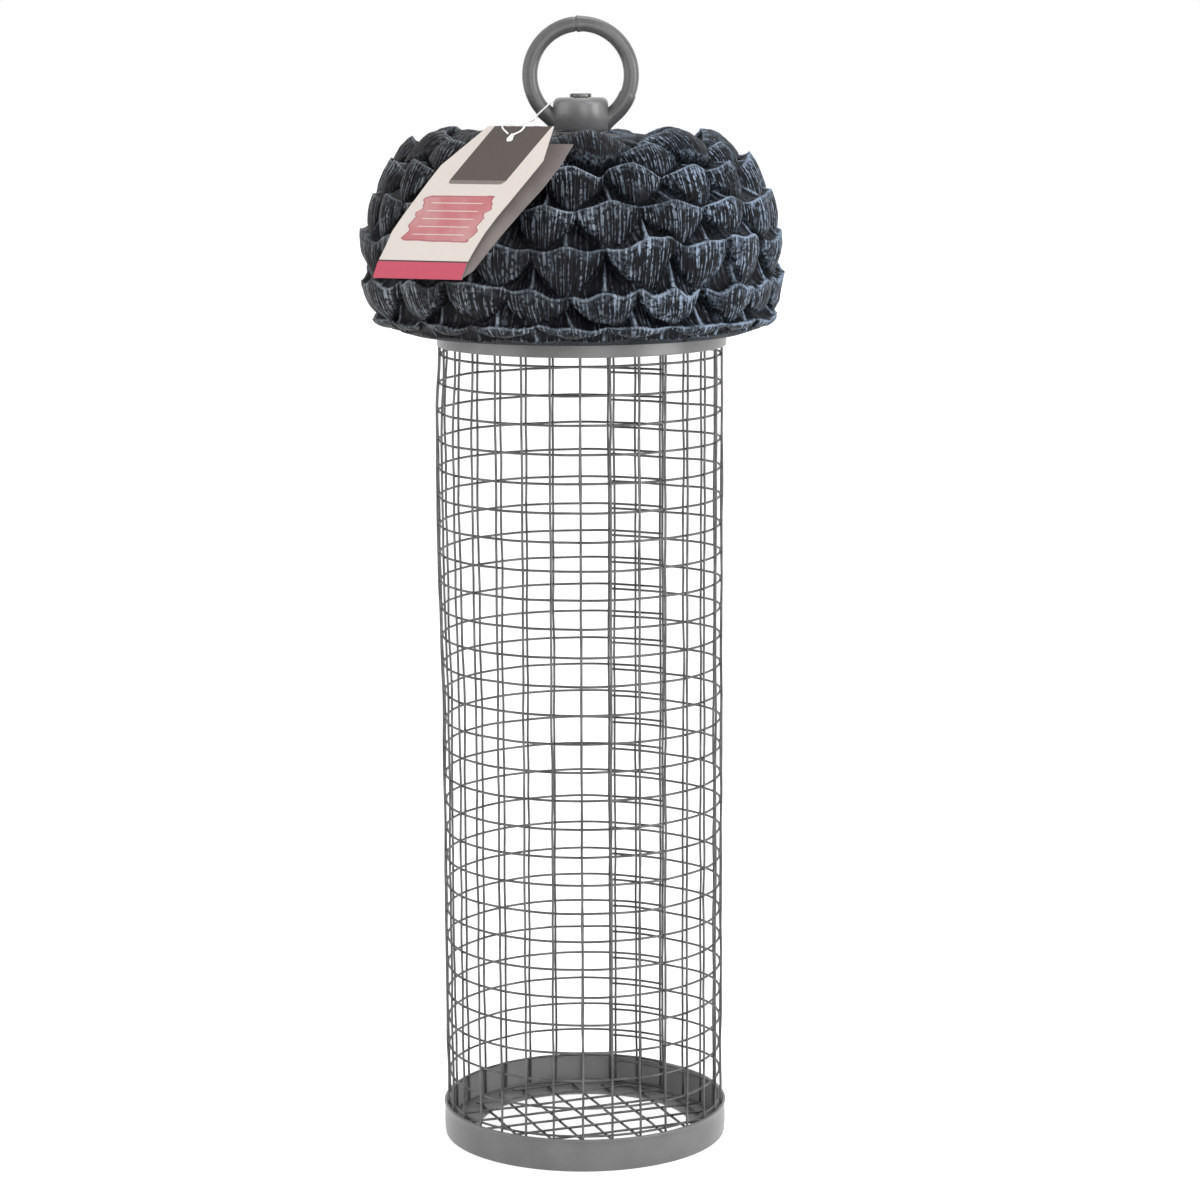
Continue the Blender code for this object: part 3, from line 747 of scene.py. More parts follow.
def grid_mesh(name: str, points: np.ndarray, wrap_rows: bool = True) -> bpy.types.Mesh:
    """A mesh of quads over a grid of points whose last column joins the first.

    Args:
        name: The mesh's name.
        points: An array of rows by columns by 3.
        wrap_rows: Whether the last row joins the first too.

    Returns:
        The mesh, with its points in the grid's order.
    """
    rows, columns = points.shape[:2]
    index = np.arange(rows * columns).reshape(rows, columns)
    below = np.roll(index, -1, 0) if wrap_rows else index[1:]
    upper = index if wrap_rows else index[:-1]
    quads = np.stack([upper, below, np.roll(below, -1, 1), np.roll(upper, -1, 1)], -1)
    mesh = bpy.data.meshes.new(name)
    mesh.from_pydata(points.reshape(-1, 3).tolist(), [], quads.reshape(-1, 4).tolist())
    return mesh


def lathe(
    name: str,
    outline: Outline,
    material: bpy.types.Material,
    steps: int,
    change: Callable[[np.ndarray, np.ndarray], np.ndarray] | None = None,
) -> bpy.types.Object:
    """A closed section turned about Z.

    Args:
        name: The piece's name.
        outline: Points (radius, height) of the section, in order, off the axis or on it.
        material: Its finish.
        steps: Columns round the turn.
        change: Moves the grid's points, given them and each column's azimuth.

    Returns:
        The piece.
    """
    azimuths = np.arange(steps) / steps * math.tau
    section = np.array(outline)
    points = np.empty((len(section), steps, 3))
    points[..., 0] = section[:, :1] * np.sin(azimuths)
    points[..., 1] = -section[:, :1] * np.cos(azimuths)
    points[..., 2] = section[:, 1:]
    if change:
        points = change(points, azimuths)
    mesh = grid_mesh(name, points)
    close_mesh(mesh)
    shade(mesh)
    return new_piece(name, mesh, material)


def sweep(
    name: str,
    path: np.ndarray,
    section: Callable[[int, np.ndarray], np.ndarray],
    sides: int,
    material: bpy.types.Material,
    closed: bool = False,
) -> bpy.types.Object:
    """A tube along a path, with a flat face on each open end.

    Args:
        name: The piece's name.
        path: Its centreline, one point a row.
        section: Gives the radii at the section's angles for a point of the path.
        sides: Sides of the tube.
        material: Its finish.
        closed: Whether the path's end joins its start.

    Returns:
        The piece.
    """
    ahead = np.roll(path, -1, 0) - np.roll(path, 1, 0)
    if not closed:
        ahead[0], ahead[-1] = path[1] - path[0], path[-1] - path[-2]
    ahead /= np.linalg.norm(ahead, axis=1)[:, None]
    normal = np.cross(ahead[0], np.eye(3)[np.argmin(np.abs(ahead[0]))])
    angles = np.arange(sides) / sides * math.tau
    points = np.empty((len(path), sides, 3))
    for k in range(len(path)):
        normal -= ahead[k] * (normal @ ahead[k])
        normal /= np.linalg.norm(normal)
        across = np.cross(ahead[k], normal)
        radii = section(k, angles)[:, None]
        points[k] = path[k] + radii * (np.cos(angles)[:, None] * normal + np.sin(angles)[:, None] * across)
    mesh = grid_mesh(name, points, closed)
    close_mesh(mesh)
    shade(mesh, 55.0)
    return new_piece(name, mesh, material)


class GeometryTree(NodeBench):
    """A Geometry Nodes tree with named inputs, run once to give a plain mesh."""

    def __init__(self, name: str, values: dict[str, Any]) -> None:
        """Starts the tree.

        Args:
            name: The tree's name.
            values: A number for each named input, and the piece's finish as "Material".
        """
        tree = bpy.data.node_groups.new(name, "GeometryNodeTree")
        tree.interface.new_socket("Geometry", in_out="OUTPUT", socket_type="NodeSocketGeometry")
        kinds = {int: "NodeSocketInt", float: "NodeSocketFloat"}
        for label, value in values.items():
            kind = kinds.get(type(value), "NodeSocketMaterial")
            tree.interface.new_socket(label, in_out="INPUT", socket_type=kind)
        super().__init__(tree)
        self.values = values
        self.source = tree.nodes.new("NodeGroupInput")
        self.result = tree.nodes.new("NodeGroupOutput")

    def given(self, label: str) -> Term:
        """One of the tree's named inputs."""
        return Term(self, self.source.outputs[label])

    def index(self) -> Term:
        """The number of the point that is worked on."""
        return self.term(self.add("GeometryNodeInputIndex"))

    def position(self) -> Term:
        """The place of the point that is worked on."""
        return self.term(self.add("GeometryNodeInputPosition"))

    def moved(self, geometry: Term, offset: Term) -> Term:
        """Geometry with each point shifted by an offset."""
        return self.term(self.add("GeometryNodeSetPosition", Geometry=geometry, Offset=offset))

    def placed(self, geometry: Term, position: Term) -> Term:
        """Geometry with each point put at a position."""
        return self.term(self.add("GeometryNodeSetPosition", Geometry=geometry, Position=position))

    def line(self, count: Value, start: Any, step: Any) -> Term:
        """A row of joined points, one step apart."""
        inputs = {"Count": count, "Start Location": start, "Offset": step}
        return self.term(self.add("GeometryNodeMeshLine", {"mode": "OFFSET"}, **inputs))

    def row(self, count: Value, position: Term) -> Term:
        """A row of joined points, each put at a position that its number gives."""
        return self.placed(self.line(count, (0, 0, 0), (0, 0, 0)), position)

    def copies(self, points: Term, instance: Term, **inputs: Any) -> Term:
        """Real copies of a shape at each point."""
        node = self.add("GeometryNodeInstanceOnPoints", Points=points, Instance=instance, **inputs)
        return self.term(self.add("GeometryNodeRealizeInstances", Geometry=self.term(node)))

    def joined(self, *parts: Term) -> Term:
        """Several geometries as one.

        Args:
            parts: The geometries.

        Returns:
            The geometry.
        """
        node = self.add("GeometryNodeJoinGeometry")
        for part in parts:
            self.tree.links.new(part.socket, node.inputs[0])
        return self.term(node)

    def tube(self, edges: Term, radius: Value) -> Term:
        """A capped round tube along each run of edges."""
        curve = self.term(self.add("GeometryNodeMeshToCurve", Mesh=edges))
        ring = self.term(self.add("GeometryNodeCurvePrimitiveCircle", Resolution=WIRE_SIDES, Radius=radius))
        tube = self.add("GeometryNodeCurveToMesh", Curve=curve, Profile_Curve=ring, Fill_Caps=True)
        return self.term(tube)

    def ripple(self, size: Value, reach: Value) -> tuple[Term, ...]:
        """Gentle shifts along X, Y and Z that vary along a wire, up to about half the reach each way."""
        node = self.add("ShaderNodeTexNoise", Vector=self.position(), Scale=1.0 / size, Detail=1.0)
        return tuple((part - 0.5) * reach for part in self.parts(self.term(node, "Color")))

    def run(self, name: str, geometry: Term) -> bpy.types.Object:
        """Ends the tree, sets its inputs and takes its result as a plain mesh.

        Args:
            name: The piece's name.
            geometry: The tree's result.

        Returns:
            The piece.
        """
        smooth = self.term(self.add("GeometryNodeSetShadeSmooth", Geometry=geometry))
        finish = self.given("Material")
        dressed = self.add("GeometryNodeSetMaterial", Geometry=smooth, Material=finish)
        self.tree.links.new(dressed.outputs[0], self.result.inputs[0])
        holder = new_object(name, bpy.data.meshes.new(name))
        modifier = holder.modifiers.new("nodes", "NODES")
        modifier.node_group = self.tree
        for item in self.tree.interface.items_tree:
            if item.in_out == "INPUT":
                modifier[item.identifier] = self.values[item.name]
        bpy.context.view_layer.update()
        graph = bpy.context.evaluated_depsgraph_get()
        mesh = bpy.data.meshes.new_from_object(holder.evaluated_get(graph))
        bpy.data.objects.remove(holder, do_unlink=True)
        mesh.name = name
        mesh.set_sharp_from_angle(angle=math.radians(60.0))
        return new_piece(name, mesh, self.values["Material"])


def present(piece: bpy.types.Object, body: Body, replaced: Sequence[str]) -> bpy.types.Object:
    """Hands a finished piece to the frame.

    Args:
        piece: The piece, at the origin with its place in its mesh.
        body: What it moves with.
        replaced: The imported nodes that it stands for.

    Returns:
        The piece.
    """
    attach(piece, body.value)
    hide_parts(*replaced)
    log.info("%s on %s: %d faces, stands for %s", piece.name, body.value, len(piece.data.polygons), replaced)
    return piece


def dress_node(name: str, material: bpy.types.Material) -> None:
    """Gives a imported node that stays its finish.

    Args:
        name: The node's name.
        material: The finish.
    """
    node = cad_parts[name]
    node.data.materials.clear()
    node.data.materials.append(material)
    log.info("%s keeps its packed shape", name)


# Sub-assemblies


@dataclass
class BaseCup:
    """Pressed cup that the tube stands in, with a folded rim and an inner flange."""

    sheet: float = 0.0006
    edge_radius: float = 0.0002
    rim_radius: float = 0.00042
    flange_width: float = 0.0094
    bulge: float = 0.00018
    drop: float = 0.0006

    def build(self, finishes: Finishes) -> None:
        """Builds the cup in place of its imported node.

        Args:
            finishes: The shared finishes.
        """
        low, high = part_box("base_cup")
        radius, height = high.x, high.z - low.z - self.drop
        edge, rim = self.edge_radius, self.rim_radius
        foot = radius - rim * 0.35 - self.bulge
        climb = height - 3 * rim - edge
        shares = [k / 6 for k in range(7)]
        outline = [
            *((foot + self.bulge * (1 - (2 * s - 1) ** 2), edge + climb * s) for s in shares),
            *arc((radius - rim, height - rim), rim, -50, 180, 10),
            (radius - self.sheet, height - 2.4 * rim),
            *arc((radius - self.sheet - edge, edge + self.sheet), edge, 0, -90, 6),
            *arc((radius - self.flange_width, self.sheet / 2), self.sheet / 2, 90, 270, 6),
            *arc((foot - edge, edge), edge, -90, 0, 7)[:-1],
        ]
        cup = lathe("cup", outline, finishes.pressed, 160)
        present(cup, Body.CAGE, ["base_cup"])


@dataclass
class MeshTube:
    """The rolled sheet of welded mesh: uprights outside, hoops inside, lapped over two cells at the seam."""

    radius: float = 0.0380
    wire_radius: float = 0.00033
    pitch: float = 0.00762
    hoops: int = 30
    uprights: int = 30
    lap: int = 2
    seam: float = math.radians(145.3)
    slip: float = math.radians(-0.10)
    ramp_cells: int = 4
    layer: float = 0.00074
    inset: float = 0.00056
    stub: float = 0.0009
    seam_drop: float = 0.0011
    ripple_size: float = 0.018
    ripple_reach: float = 0.0008
    rise_share: float = 0.7
    # How far the tube stands out on the left, most of it in the upper half
    bulge: float = 0.0014
    bulge_heights: tuple[float, float] = (0.110, 0.175)
    bulge_foot: float = 0.25
    # How far the tube stays inside the collar's wall, and where that begins below it
    collar_gap: float = 0.00005
    collar_reach: float = 0.020
    points_per_cell: int = 4
    nugget_share: float = 1.28

    def _sheet_place(self, tree: GeometryTree, azimuth: Term, inset: float) -> Term:
        """A place at the foot of the rolled sheet, whose inner end dives under the outer one at the lap.

        Args:
            tree: The tube's tree.
            azimuth: Where it lies round the tube, counted on past a full turn at the lap.
            inset: How far it lies inside the sheet's outer wires.

        Returns:
            The place.
        """
        cell = math.tau / self.uprights + self.slip
        end = self.seam + self.uprights * cell
        sink = azimuth.ramp(end - self.ramp_cells * cell, end) * tree.given("Lap Depth")
        radius = tree.given("Radius") - sink - inset
        drop = sink / tree.given("Lap Depth") * self.seam_drop
        return tree.vector(radius * azimuth.sine(), radius * azimuth.cosine() * -1.0, 0.0 - drop)

    def _shift(self, tree: GeometryTree, base: float) -> Term:
        """How far each point lies off the even roll: ripples, the level foot and the bulge on the left.

        Args:
            tree: The tube's tree.
            base: Height of the wires' lower ends.

        Returns:
            The shift.
        """
        x, y, z = tree.ripple(self.ripple_size, tree.given("Ripple"))
        across, _, height = tree.parts(tree.position())
        lowest = base + self.wire_radius
        wave = z * self.rise_share * (height - lowest).ramp(0.0, 0.012)
        lift = (lowest - height).most(0.0)
        low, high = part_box("top_collar")
        held = 1.0 - (high.x - self.radius - self.collar_gap) / self.bulge
        upper = self.bulge_foot + height.ramp(*self.bulge_heights) * (1.0 - self.bulge_foot)
        loose = upper * height.ramp(0.010, 0.040)
        loose = loose * (1.0 - height.ramp(low.z - self.collar_reach, low.z) * held)
        loose = loose * (across * (-1.0 / self.radius)).ramp(0.45, 1.0)
        return tree.vector(x - loose * self.bulge, y, wave + lift)

    def build(self, finishes: Finishes) -> None:
        """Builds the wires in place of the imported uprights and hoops.

        Args:
            finishes: The shared finishes.
        """
        low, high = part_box("mesh_uprights")
        base, rise = low.z, high.z - low.z
        cell = math.tau / self.uprights + self.slip
        tree = GeometryTree(
            "rolled_mesh",
            {
                "Radius": self.radius - self.wire_radius,
                "Wire Radius": self.wire_radius,
                "Pitch": self.pitch,
                "Hoops": self.hoops,
                "Uprights": self.uprights + self.lap + 1,
                "Lap Depth": 2 * self.layer,
                "Ripple": self.ripple_reach,
                "Material": finishes.wire,
            },
        )
        shift = self._shift(tree, base)
        wire, count = tree.given("Wire Radius"), tree.given("Uprights")
        azimuth = self.seam + tree.index() * cell
        feet = tree.row(count, self._sheet_place(tree, azimuth, 0.0))
        steps = self.hoops * self.points_per_cell
        pole = tree.line(steps + 1, (0, 0, base), (0, 0, rise / steps))
        uprights = tree.tube(tree.moved(tree.copies(feet, pole), shift), wire)

        spans = self.uprights + self.lap
        points = spans * self.points_per_cell + 3
        stub = self.stub / self.radius
        bent = self.seam - stub + tree.index() * ((spans * cell + 2 * stub) / (points - 1))
        hoop = tree.row(points, self._sheet_place(tree, bent, self.inset))
        step = tree.vector(0.0, 0.0, tree.given("Pitch"))
        levels = tree.line(tree.given("Hoops"), (0, 0, base + self.stub), step)
        hoops = tree.tube(tree.moved(tree.copies(levels, hoop), shift), wire)

        ball = tree.add("GeometryNodeMeshIcoSphere", Radius=wire * self.nugget_share, Subdivisions=1)
        inner_feet = tree.row(count, self._sheet_place(tree, azimuth, self.inset / 2))
        crossings = tree.moved(tree.copies(inner_feet, levels), shift)
        welds = tree.copies(crossings, tree.term(ball))
        tube = tree.run("mesh_tube", tree.joined(uprights, hoops, welds))
        present(tube, Body.CAGE, ["mesh_uprights", "mesh_hoops"])


@dataclass
class FloorMesh:
    """A disc of the same mesh, turned in the cup, with both its layers of wire."""

    wire_radius: float = 0.00036
    pitch: float = 0.00762
    turn: float = math.radians(21.0)
    shifts: tuple[float, float] = (0.0014, 0.0028)
    weld_depth: float = 0.00014
    ripple_size: float = 0.011
    ripple_reach: float = 0.0009
    bend_points: int = 40

    def _layer(self, tree: GeometryTree, reach: int, turn: float, shift: float, height: float) -> Term:
        """One layer of parallel wires that end on the disc's edge.

        Args:
            tree: The floor's tree.
            reach: Wires on each side of the middle one.
            turn: Their direction.
            shift: How far the middle one lies from the centre.
            height: Their axis above the ground.

        Returns:
            The wires as edges.
        """
        place = (tree.index() - float(reach)) * tree.given("Pitch") + shift
        half = (tree.given("Radius") * tree.given("Radius") - place * place).root()
        row = tree.row(2 * reach + 1, tree.vector(place, 0.0, height))
        unit = tree.line(self.bend_points + 1, (0, -1, 0), (0, 2 / self.bend_points, 0))
        wires = tree.copies(row, unit, Scale=tree.vector(1.0, half, 1.0))
        return tree.term(tree.add("GeometryNodeTransform", Geometry=wires, Rotation=(0, 0, turn)))

    def build(self, finishes: Finishes) -> None:
        """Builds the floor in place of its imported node.

        Args:
            finishes: The shared finishes.
        """
        low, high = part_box("floor_mesh")
        reach = int((high.x - self.wire_radius) / self.pitch)
        tree = GeometryTree(
            "floor_disc",
            {
                "Radius": high.x - self.ripple_reach / 3,
                "Wire Radius": self.wire_radius,
                "Pitch": self.pitch,
                "Ripple": self.ripple_reach,
                "Material": finishes.wire,
            },
        )
        first, second = self.shifts
        axis = low.z + self.wire_radius
        lower = self._layer(tree, reach, self.turn, first, axis)
        axis += 2 * self.wire_radius - self.weld_depth
        upper = self._layer(tree, reach, self.turn + math.pi / 2, second, axis)
        x, y, _ = tree.ripple(self.ripple_size, tree.given("Ripple"))
        bent = tree.moved(tree.joined(lower, upper), tree.vector(x, y, 0.0))
        floor = tree.run("floor_wires", tree.tube(bent, tree.given("Wire Radius")))
        present(floor, Body.CAGE, ["floor_mesh"])


@dataclass
class Collar:
    """Band round the top of the tube, with an inner flange that is notched for the lid's tabs."""

    sheet: float = 0.00045
    flange_radius: float = 0.03494
    notch_radius: float = 0.03664
    notch_width: float = 0.0098
    edge_radius: float = 0.0004

    def _notched(self, points: np.ndarray, azimuths: np.ndarray) -> np.ndarray:
        """Draws the flange's inner edge back at the two notches.

        Args:
            points: The grid's points, which are changed.
            azimuths: Each column's azimuth.

        Returns:
            The points.
        """
        side = np.abs(np.sin(azimuths))
        offset = np.abs(np.cos(azimuths)) * self.notch_radius
        cut = (side > 0.5) & (offset < self.notch_width / 2)
        radii = np.hypot(points[..., 0], points[..., 1])
        inner = (radii < self.notch_radius) & cut[None, :]
        points[..., :2] *= np.where(inner, self.notch_radius / radii, 1.0)[..., None]
        return points

    def build(self, finishes: Finishes) -> None:
        """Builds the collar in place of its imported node.

        Args:
            finishes: The shared finishes.
        """
        low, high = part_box("top_collar")
        radius, edge = high.x, self.edge_radius
        inner = radius - self.sheet
        outline = [
            (self.flange_radius, high.z),
            *arc((radius - edge, high.z - edge), edge, 90, 0, 5),
            (radius, low.z + edge / 2),
            *arc((radius - self.sheet / 2, low.z + self.sheet / 2), self.sheet / 2, 0, -180, 7),
            (inner, high.z - self.sheet),
            (self.flange_radius, high.z - self.sheet),
        ]
        collar = lathe("collar", outline, finishes.band, 288, self._notched)
        present(collar, Body.CAGE, ["top_collar"])


@dataclass(frozen=True)
class ScaleRow:
    """One ring of scales.

    The ridge's radius and height and the relief's depth are shares of the lid's own. A scale's width and
    start, counted from the front, are shares of the pitch. Its reach is the rows that its front hangs over.
    Its ridge rises by the peak in its middle, sags by the sag beside it, in rows, and draws in by the fall.
    """

    radius: float
    height: float
    depth: float
    count: int
    width: float
    start: float
    reach: float
    peak: float
    sag: float
    fall: float


@dataclass(frozen=True)
class Scale:
    """One scale, with the accidents of its casting."""

    centre: float
    half: float
    tip: float
    slope: float
    reach: float
    keel: float
    lean: float
    skew: float
    shift: float
    tilt: float
    peak: float
    sag: float
    fall: float
    number: float


@dataclass
class PineConeLid:
    """Cast lid: staggered scales, each with a ridge, a front below it and two hollows with a keel above."""

    radius: float = 0.05665
    height: float = 0.0524
    side_shift: float = -0.0025
    # The lid's foot is shifted by this share, growing to all of it at a height
    foot_share: float = 0.45
    upright_above: float = 0.014
    recess_radius: float = 0.03925
    recess_depth: float = 0.0064
    bore_radius: float = 0.0023
    scale_depth: float = 0.0061
    lip_rise: float = 0.0009
    rough_depth: float = 0.00030
    rough_sizes: tuple[float, float] = (0.0065, 0.0014)
    fine_share: float = 0.35
    # Shares of a scale's depth: how far its front drops, sinks at its sides and swells in its middle, how
    # far its back drops behind the ridge and in its hollows, the valley between scales, and no scale at all
    front_drop: float = 0.40
    side_drop: float = 0.08
    swell: float = 0.09
    back_step: float = 0.17
    hollow_depth: float = 0.18
    valley: float = -0.10
    outside: float = -1.5
    washer_gap: float = 0.0014
    lip_height: float = 0.0008
    columns_per_scale: int = 34
    scales_round: int = 19
    rows_per_ridge: int = 15
    row_height: float = 0.0105
    seed: int = 11
    # From the hub outwards and down
    ridge_rows: tuple[ScaleRow, ...] = (
        ScaleRow(0.300, 1.000, 0.25, 6, 1.04, 0.10, 1.05, 0.00, 0.00, 0.50),
        ScaleRow(0.440, 1.012, 0.60, 8, 1.06, 0.45, 1.10, 0.05, 0.00, 0.50),
        ScaleRow(0.640, 1.040, 1.15, 9, 1.02, 0.20, 1.75, 0.10, 0.02, 0.50),
        ScaleRow(0.764, 0.976, 1.10, 9, 0.74, 0.74, 1.10, 0.12, 0.00, 0.48),
        ScaleRow(0.866, 0.872, 1.05, 19, 1.10, 0.08, 1.02, 0.11, 0.02, 0.44),
        ScaleRow(0.958, 0.700, 1.00, 19, 1.12, 0.60, 1.00, 0.08, 0.04, 0.40),
        ScaleRow(1.003, 0.505, 1.00, 19, 1.14, 0.03, 1.00, 0.01, 0.08, 0.32),
        ScaleRow(0.998, 0.292, 1.00, 19, 1.14, 0.53, 0.90, 0.01, 0.12, 0.30),
        ScaleRow(0.958, 0.088, 0.90, 19, 1.14, 0.95, 1.00, 0.02, 0.10, 0.28),
        ScaleRow(0.858, 0.026, 0.50, 19, 1.12, 0.45, 1.00, 0.00, 0.00, 0.28),
    )

    def _scales(self, rng: np.random.Generator) -> list[list[Scale]]:
        """Every scale, row by row.

        Args:
            rng: What their accidents are drawn from.

        Returns:
            The scales of each ridge row.
        """
        rows = []
        for row in self.ridge_rows:
            pitch = math.tau / row.count
            rows.append(
                [
                    Scale(
                        centre=(k + row.start + rng.normal(0, 0.06)) * pitch,
                        half=pitch * row.width / 2 * rng.uniform(0.92, 1.08),
                        tip=rng.uniform(0.84, 1.08),
                        slope=rng.normal(0, 0.10),
                        reach=row.reach * rng.uniform(0.93, 1.06),
                        keel=rng.uniform(0.10, 0.26),
                        lean=rng.normal(0, 0.14),
                        skew=rng.normal(0, 0.14),
                        shift=rng.normal(0, 0.06),
                        tilt=rng.normal(0, 0.10),
                        peak=row.peak * rng.uniform(0.4, 1.5),
                        sag=row.sag * rng.uniform(0.3, 1.5),
                        fall=row.fall * rng.uniform(0.8, 1.2),
                        number=rng.uniform(0, 60),
                    )
                    for k in range(row.count)
                ]
            )
        return rows

    @staticmethod
    def _across(scale: Scale, azimuths: np.ndarray) -> np.ndarray:
        """Distance from a scale's middle, in half widths."""
        turn = (azimuths - scale.centre + math.pi) % math.tau - math.pi
        return turn / scale.half

    def _ridge_shift(self, scales: list[Scale], azimuths: np.ndarray) -> np.ndarray:
        """How far down a row's ridge line lies from its level, in rows, at each azimuth.

        Args:
            scales: The row's scales.
            azimuths: The azimuths.

        Returns:
            The shifts.
        """
        shift = np.zeros_like(azimuths)
        weight = np.full_like(azimuths, 0.02)
        for scale in scales:
            x = self._across(scale, azimuths)
            share = np.clip(1.12 - np.abs(x), 0, 1) ** 1.5
            hollow = np.sin(math.pi * np.clip(np.abs(x), 0, 1)) ** 2
            peak = scale.peak * np.clip(1 - np.abs(x), 0, 1)
            shift += share * (scale.shift + scale.tilt * x + scale.sag * hollow - peak)
            weight += share
        return shift / weight

    def _front(self, scale: Scale, x: np.ndarray, y: np.ndarray) -> tuple[np.ndarray, np.ndarray]:
        """Height of a scale's front, and 1 inside its outline.

        Args:
            scale: The scale.
            x: Distance from its middle, in half widths.
            y: Distance below its ridge, in rows.

        Returns:
            The heights and the shares inside.
        """
        down = np.clip(y / scale.reach, 0, 1)
        edge = (1 - down**1.4) ** 0.84
        off = np.abs(x - scale.skew * down)
        inside = smooth_step((edge * 1.04 - off) / 0.07)
        share = np.clip(off / np.maximum(edge, 0.05), 0, 1)
        height = self._crest(scale, x) - self.front_drop * down**1.1 - self.side_drop * share**2
        height += self.swell * np.sin(down * math.pi) * (1 - share**2)
        inside = inside * ((y >= 0) & (y <= scale.reach))
        return height * inside + self.outside * (1 - inside), inside

    def _back(self, scale: Scale, x: np.ndarray, y: np.ndarray) -> tuple[np.ndarray, np.ndarray]:
        """Height of the two hollows above a scale's ridge with the keel between them, and 1 on the keel.

        Args:
            scale: The scale.
            x: Distance from its middle, in half widths.
            y: Distance below its ridge, in rows.

        Returns:
            The heights and the shares of keel.
        """
        up = np.clip(-y, 0, 1.3)
        step = 1 - np.exp(-up / 0.05)
        height = self._crest(scale, x) * (1 - 0.92 * np.clip(up, 0, 1) ** 0.85) - self.back_step * step
        hollow = np.abs(np.sin(math.pi * np.clip(np.abs(x) * 1.08, 0, 1)))
        height -= self.hollow_depth * hollow * np.sin(math.pi * np.clip(up * 0.9, 0, 1)) ** 0.8
        foot = 0.052 + 0.12 * np.exp(-up / 0.08)
        keel = np.exp(-(((x - scale.lean * up) / foot) ** 2)) * step * np.clip(1.15 - up, 0, 1) ** 0.5
        height += scale.keel * keel
        reached = (y < 0) & (up < 1.25) & (np.abs(x) < 1.15)
        return np.where(reached, height, self.outside), np.where(reached, keel, 0.0)

    @staticmethod
    def _crest(scale: Scale, x: np.ndarray) -> np.ndarray:
        """Height along a scale's ridge."""
        return scale.tip - scale.fall * np.clip(np.abs(x), 0, 1.2) ** 1.5 + scale.slope * x

    def _relief(
        self, rows: np.ndarray, azimuths: np.ndarray, all_scales: list[list[Scale]]
    ) -> dict[str, np.ndarray]:
        """What the scales make of the grid.

        Args:
            rows: The grid's rows, in ridge rows.
            azimuths: The grid's columns.
            all_scales: The scales of each ridge row.

        Returns:
            Height as a share of the depth, how far each point is a front face, how near it lies to a ridge
            and a keel, and its place on its own scale.
        """
        shape = (len(rows), len(azimuths))
        made = {name: np.zeros(shape) for name in ("front", "lip", "keel", "across", "down", "number")}
        made["height"] = np.full(shape, self.valley)
        for ridge, scales in enumerate(all_scales):
            for scale in scales:
                near = np.flatnonzero(np.abs(self._across(scale, azimuths)) < 1.15)
                band = np.flatnonzero((rows > ridge - 1.3) & (rows < ridge + scale.reach + 0.05))
                window = np.ix_(band, near)
                x = self._across(scale, azimuths[near])[None, :] * np.ones((len(band), 1))
                y = (rows[band] - ridge)[:, None] * np.ones((1, len(near)))
                face, inside = self._front(scale, x, y)
                back, keel = self._back(scale, x, y)
                height = np.maximum(face, back)
                values = {
                    "height": height,
                    "front": np.where(face >= back, inside, 0.0),
                    "lip": np.exp(-((y / 0.075) ** 2)) * np.clip(1.15 - np.abs(x), 0, 1) ** 0.4,
                    "keel": np.where(face >= back, 0.0, keel),
                    "across": x * scale.half,
                    "down": y,
                    "number": np.full_like(x, scale.number),
                }
                wins = height > made["height"][window]
                for name, value in values.items():
                    made[name][window] = np.where(wins, value, made[name][window])
        return made

    @staticmethod
    def _fractal(points: np.ndarray, size: float, octaves: int) -> np.ndarray:
        """Fractal noise about 0 at each point of a grid."""
        flat = points.reshape(-1, 3) / size
        values = [noise.fractal(Vector(p), 1.0, 2.0, octaves) for p in flat]
        return np.array(values).reshape(points.shape[:2])

    @staticmethod
    def _blurred(grid: np.ndarray, down: int, across: int) -> np.ndarray:
        """The grid averaged over a window, wrapped round its columns."""
        wide = sum(np.roll(grid, k, 1) for k in range(-across, across + 1)) / (2 * across + 1)
        rows = np.clip(np.arange(len(grid))[:, None] + np.arange(-down, down + 1), 0, len(grid) - 1)
        return wide[rows].mean(1)

    def _blank(self, rows: np.ndarray, shifts: np.ndarray) -> tuple[np.ndarray, np.ndarray]:
        """The turned form under the scales.

        Args:
            rows: The grid's rows, in ridge rows.
            shifts: How far each ridge line lies off its level, at each azimuth.

        Returns:
            (radius, height, depth) at each point of the grid, and the section's direction there.
        """
        last = len(self.ridge_rows) - 1
        lower = np.minimum(rows.astype(int), last - 1)
        share = smooth_step(rows - lower)[:, None]
        shift = shifts[lower] * (1 - share) + shifts[lower + 1] * share
        places = np.clip(rows[:, None] + shift, 0, last).ravel()
        sizes = (self.radius, self.height, self.scale_depth)
        table = np.array([(row.radius, row.height, row.depth) for row in self.ridge_rows]) * sizes
        shape = (*shift.shape, 3)
        ahead = spline(table, np.clip(places + 0.05, 0, last)).reshape(shape)
        behind = spline(table, np.clip(places - 0.05, 0, last)).reshape(shape)
        slope = (ahead - behind)[..., :2]
        return spline(table, places).reshape(shape), slope / np.linalg.norm(slope, axis=-1)[..., None]

    def _inside(self) -> Outline:
        """(radius, height) of the lid's underside, recess, bore and seat, from its lip inwards."""
        recess, bore, edge = self.recess_radius, self.bore_radius, 0.0004
        return [
            (self.radius * 0.80, self.lip_height),
            (recess + edge, self.lip_height),
            (recess, self.lip_height + edge),
            (recess, self.recess_depth - edge),
            (recess - edge, self.recess_depth),
            (bore + edge, self.recess_depth),
            (bore, self.recess_depth + edge),
            (bore, self.height - edge),
            (bore + edge, self.height),
            (self.radius * 0.18, self.height),
        ]

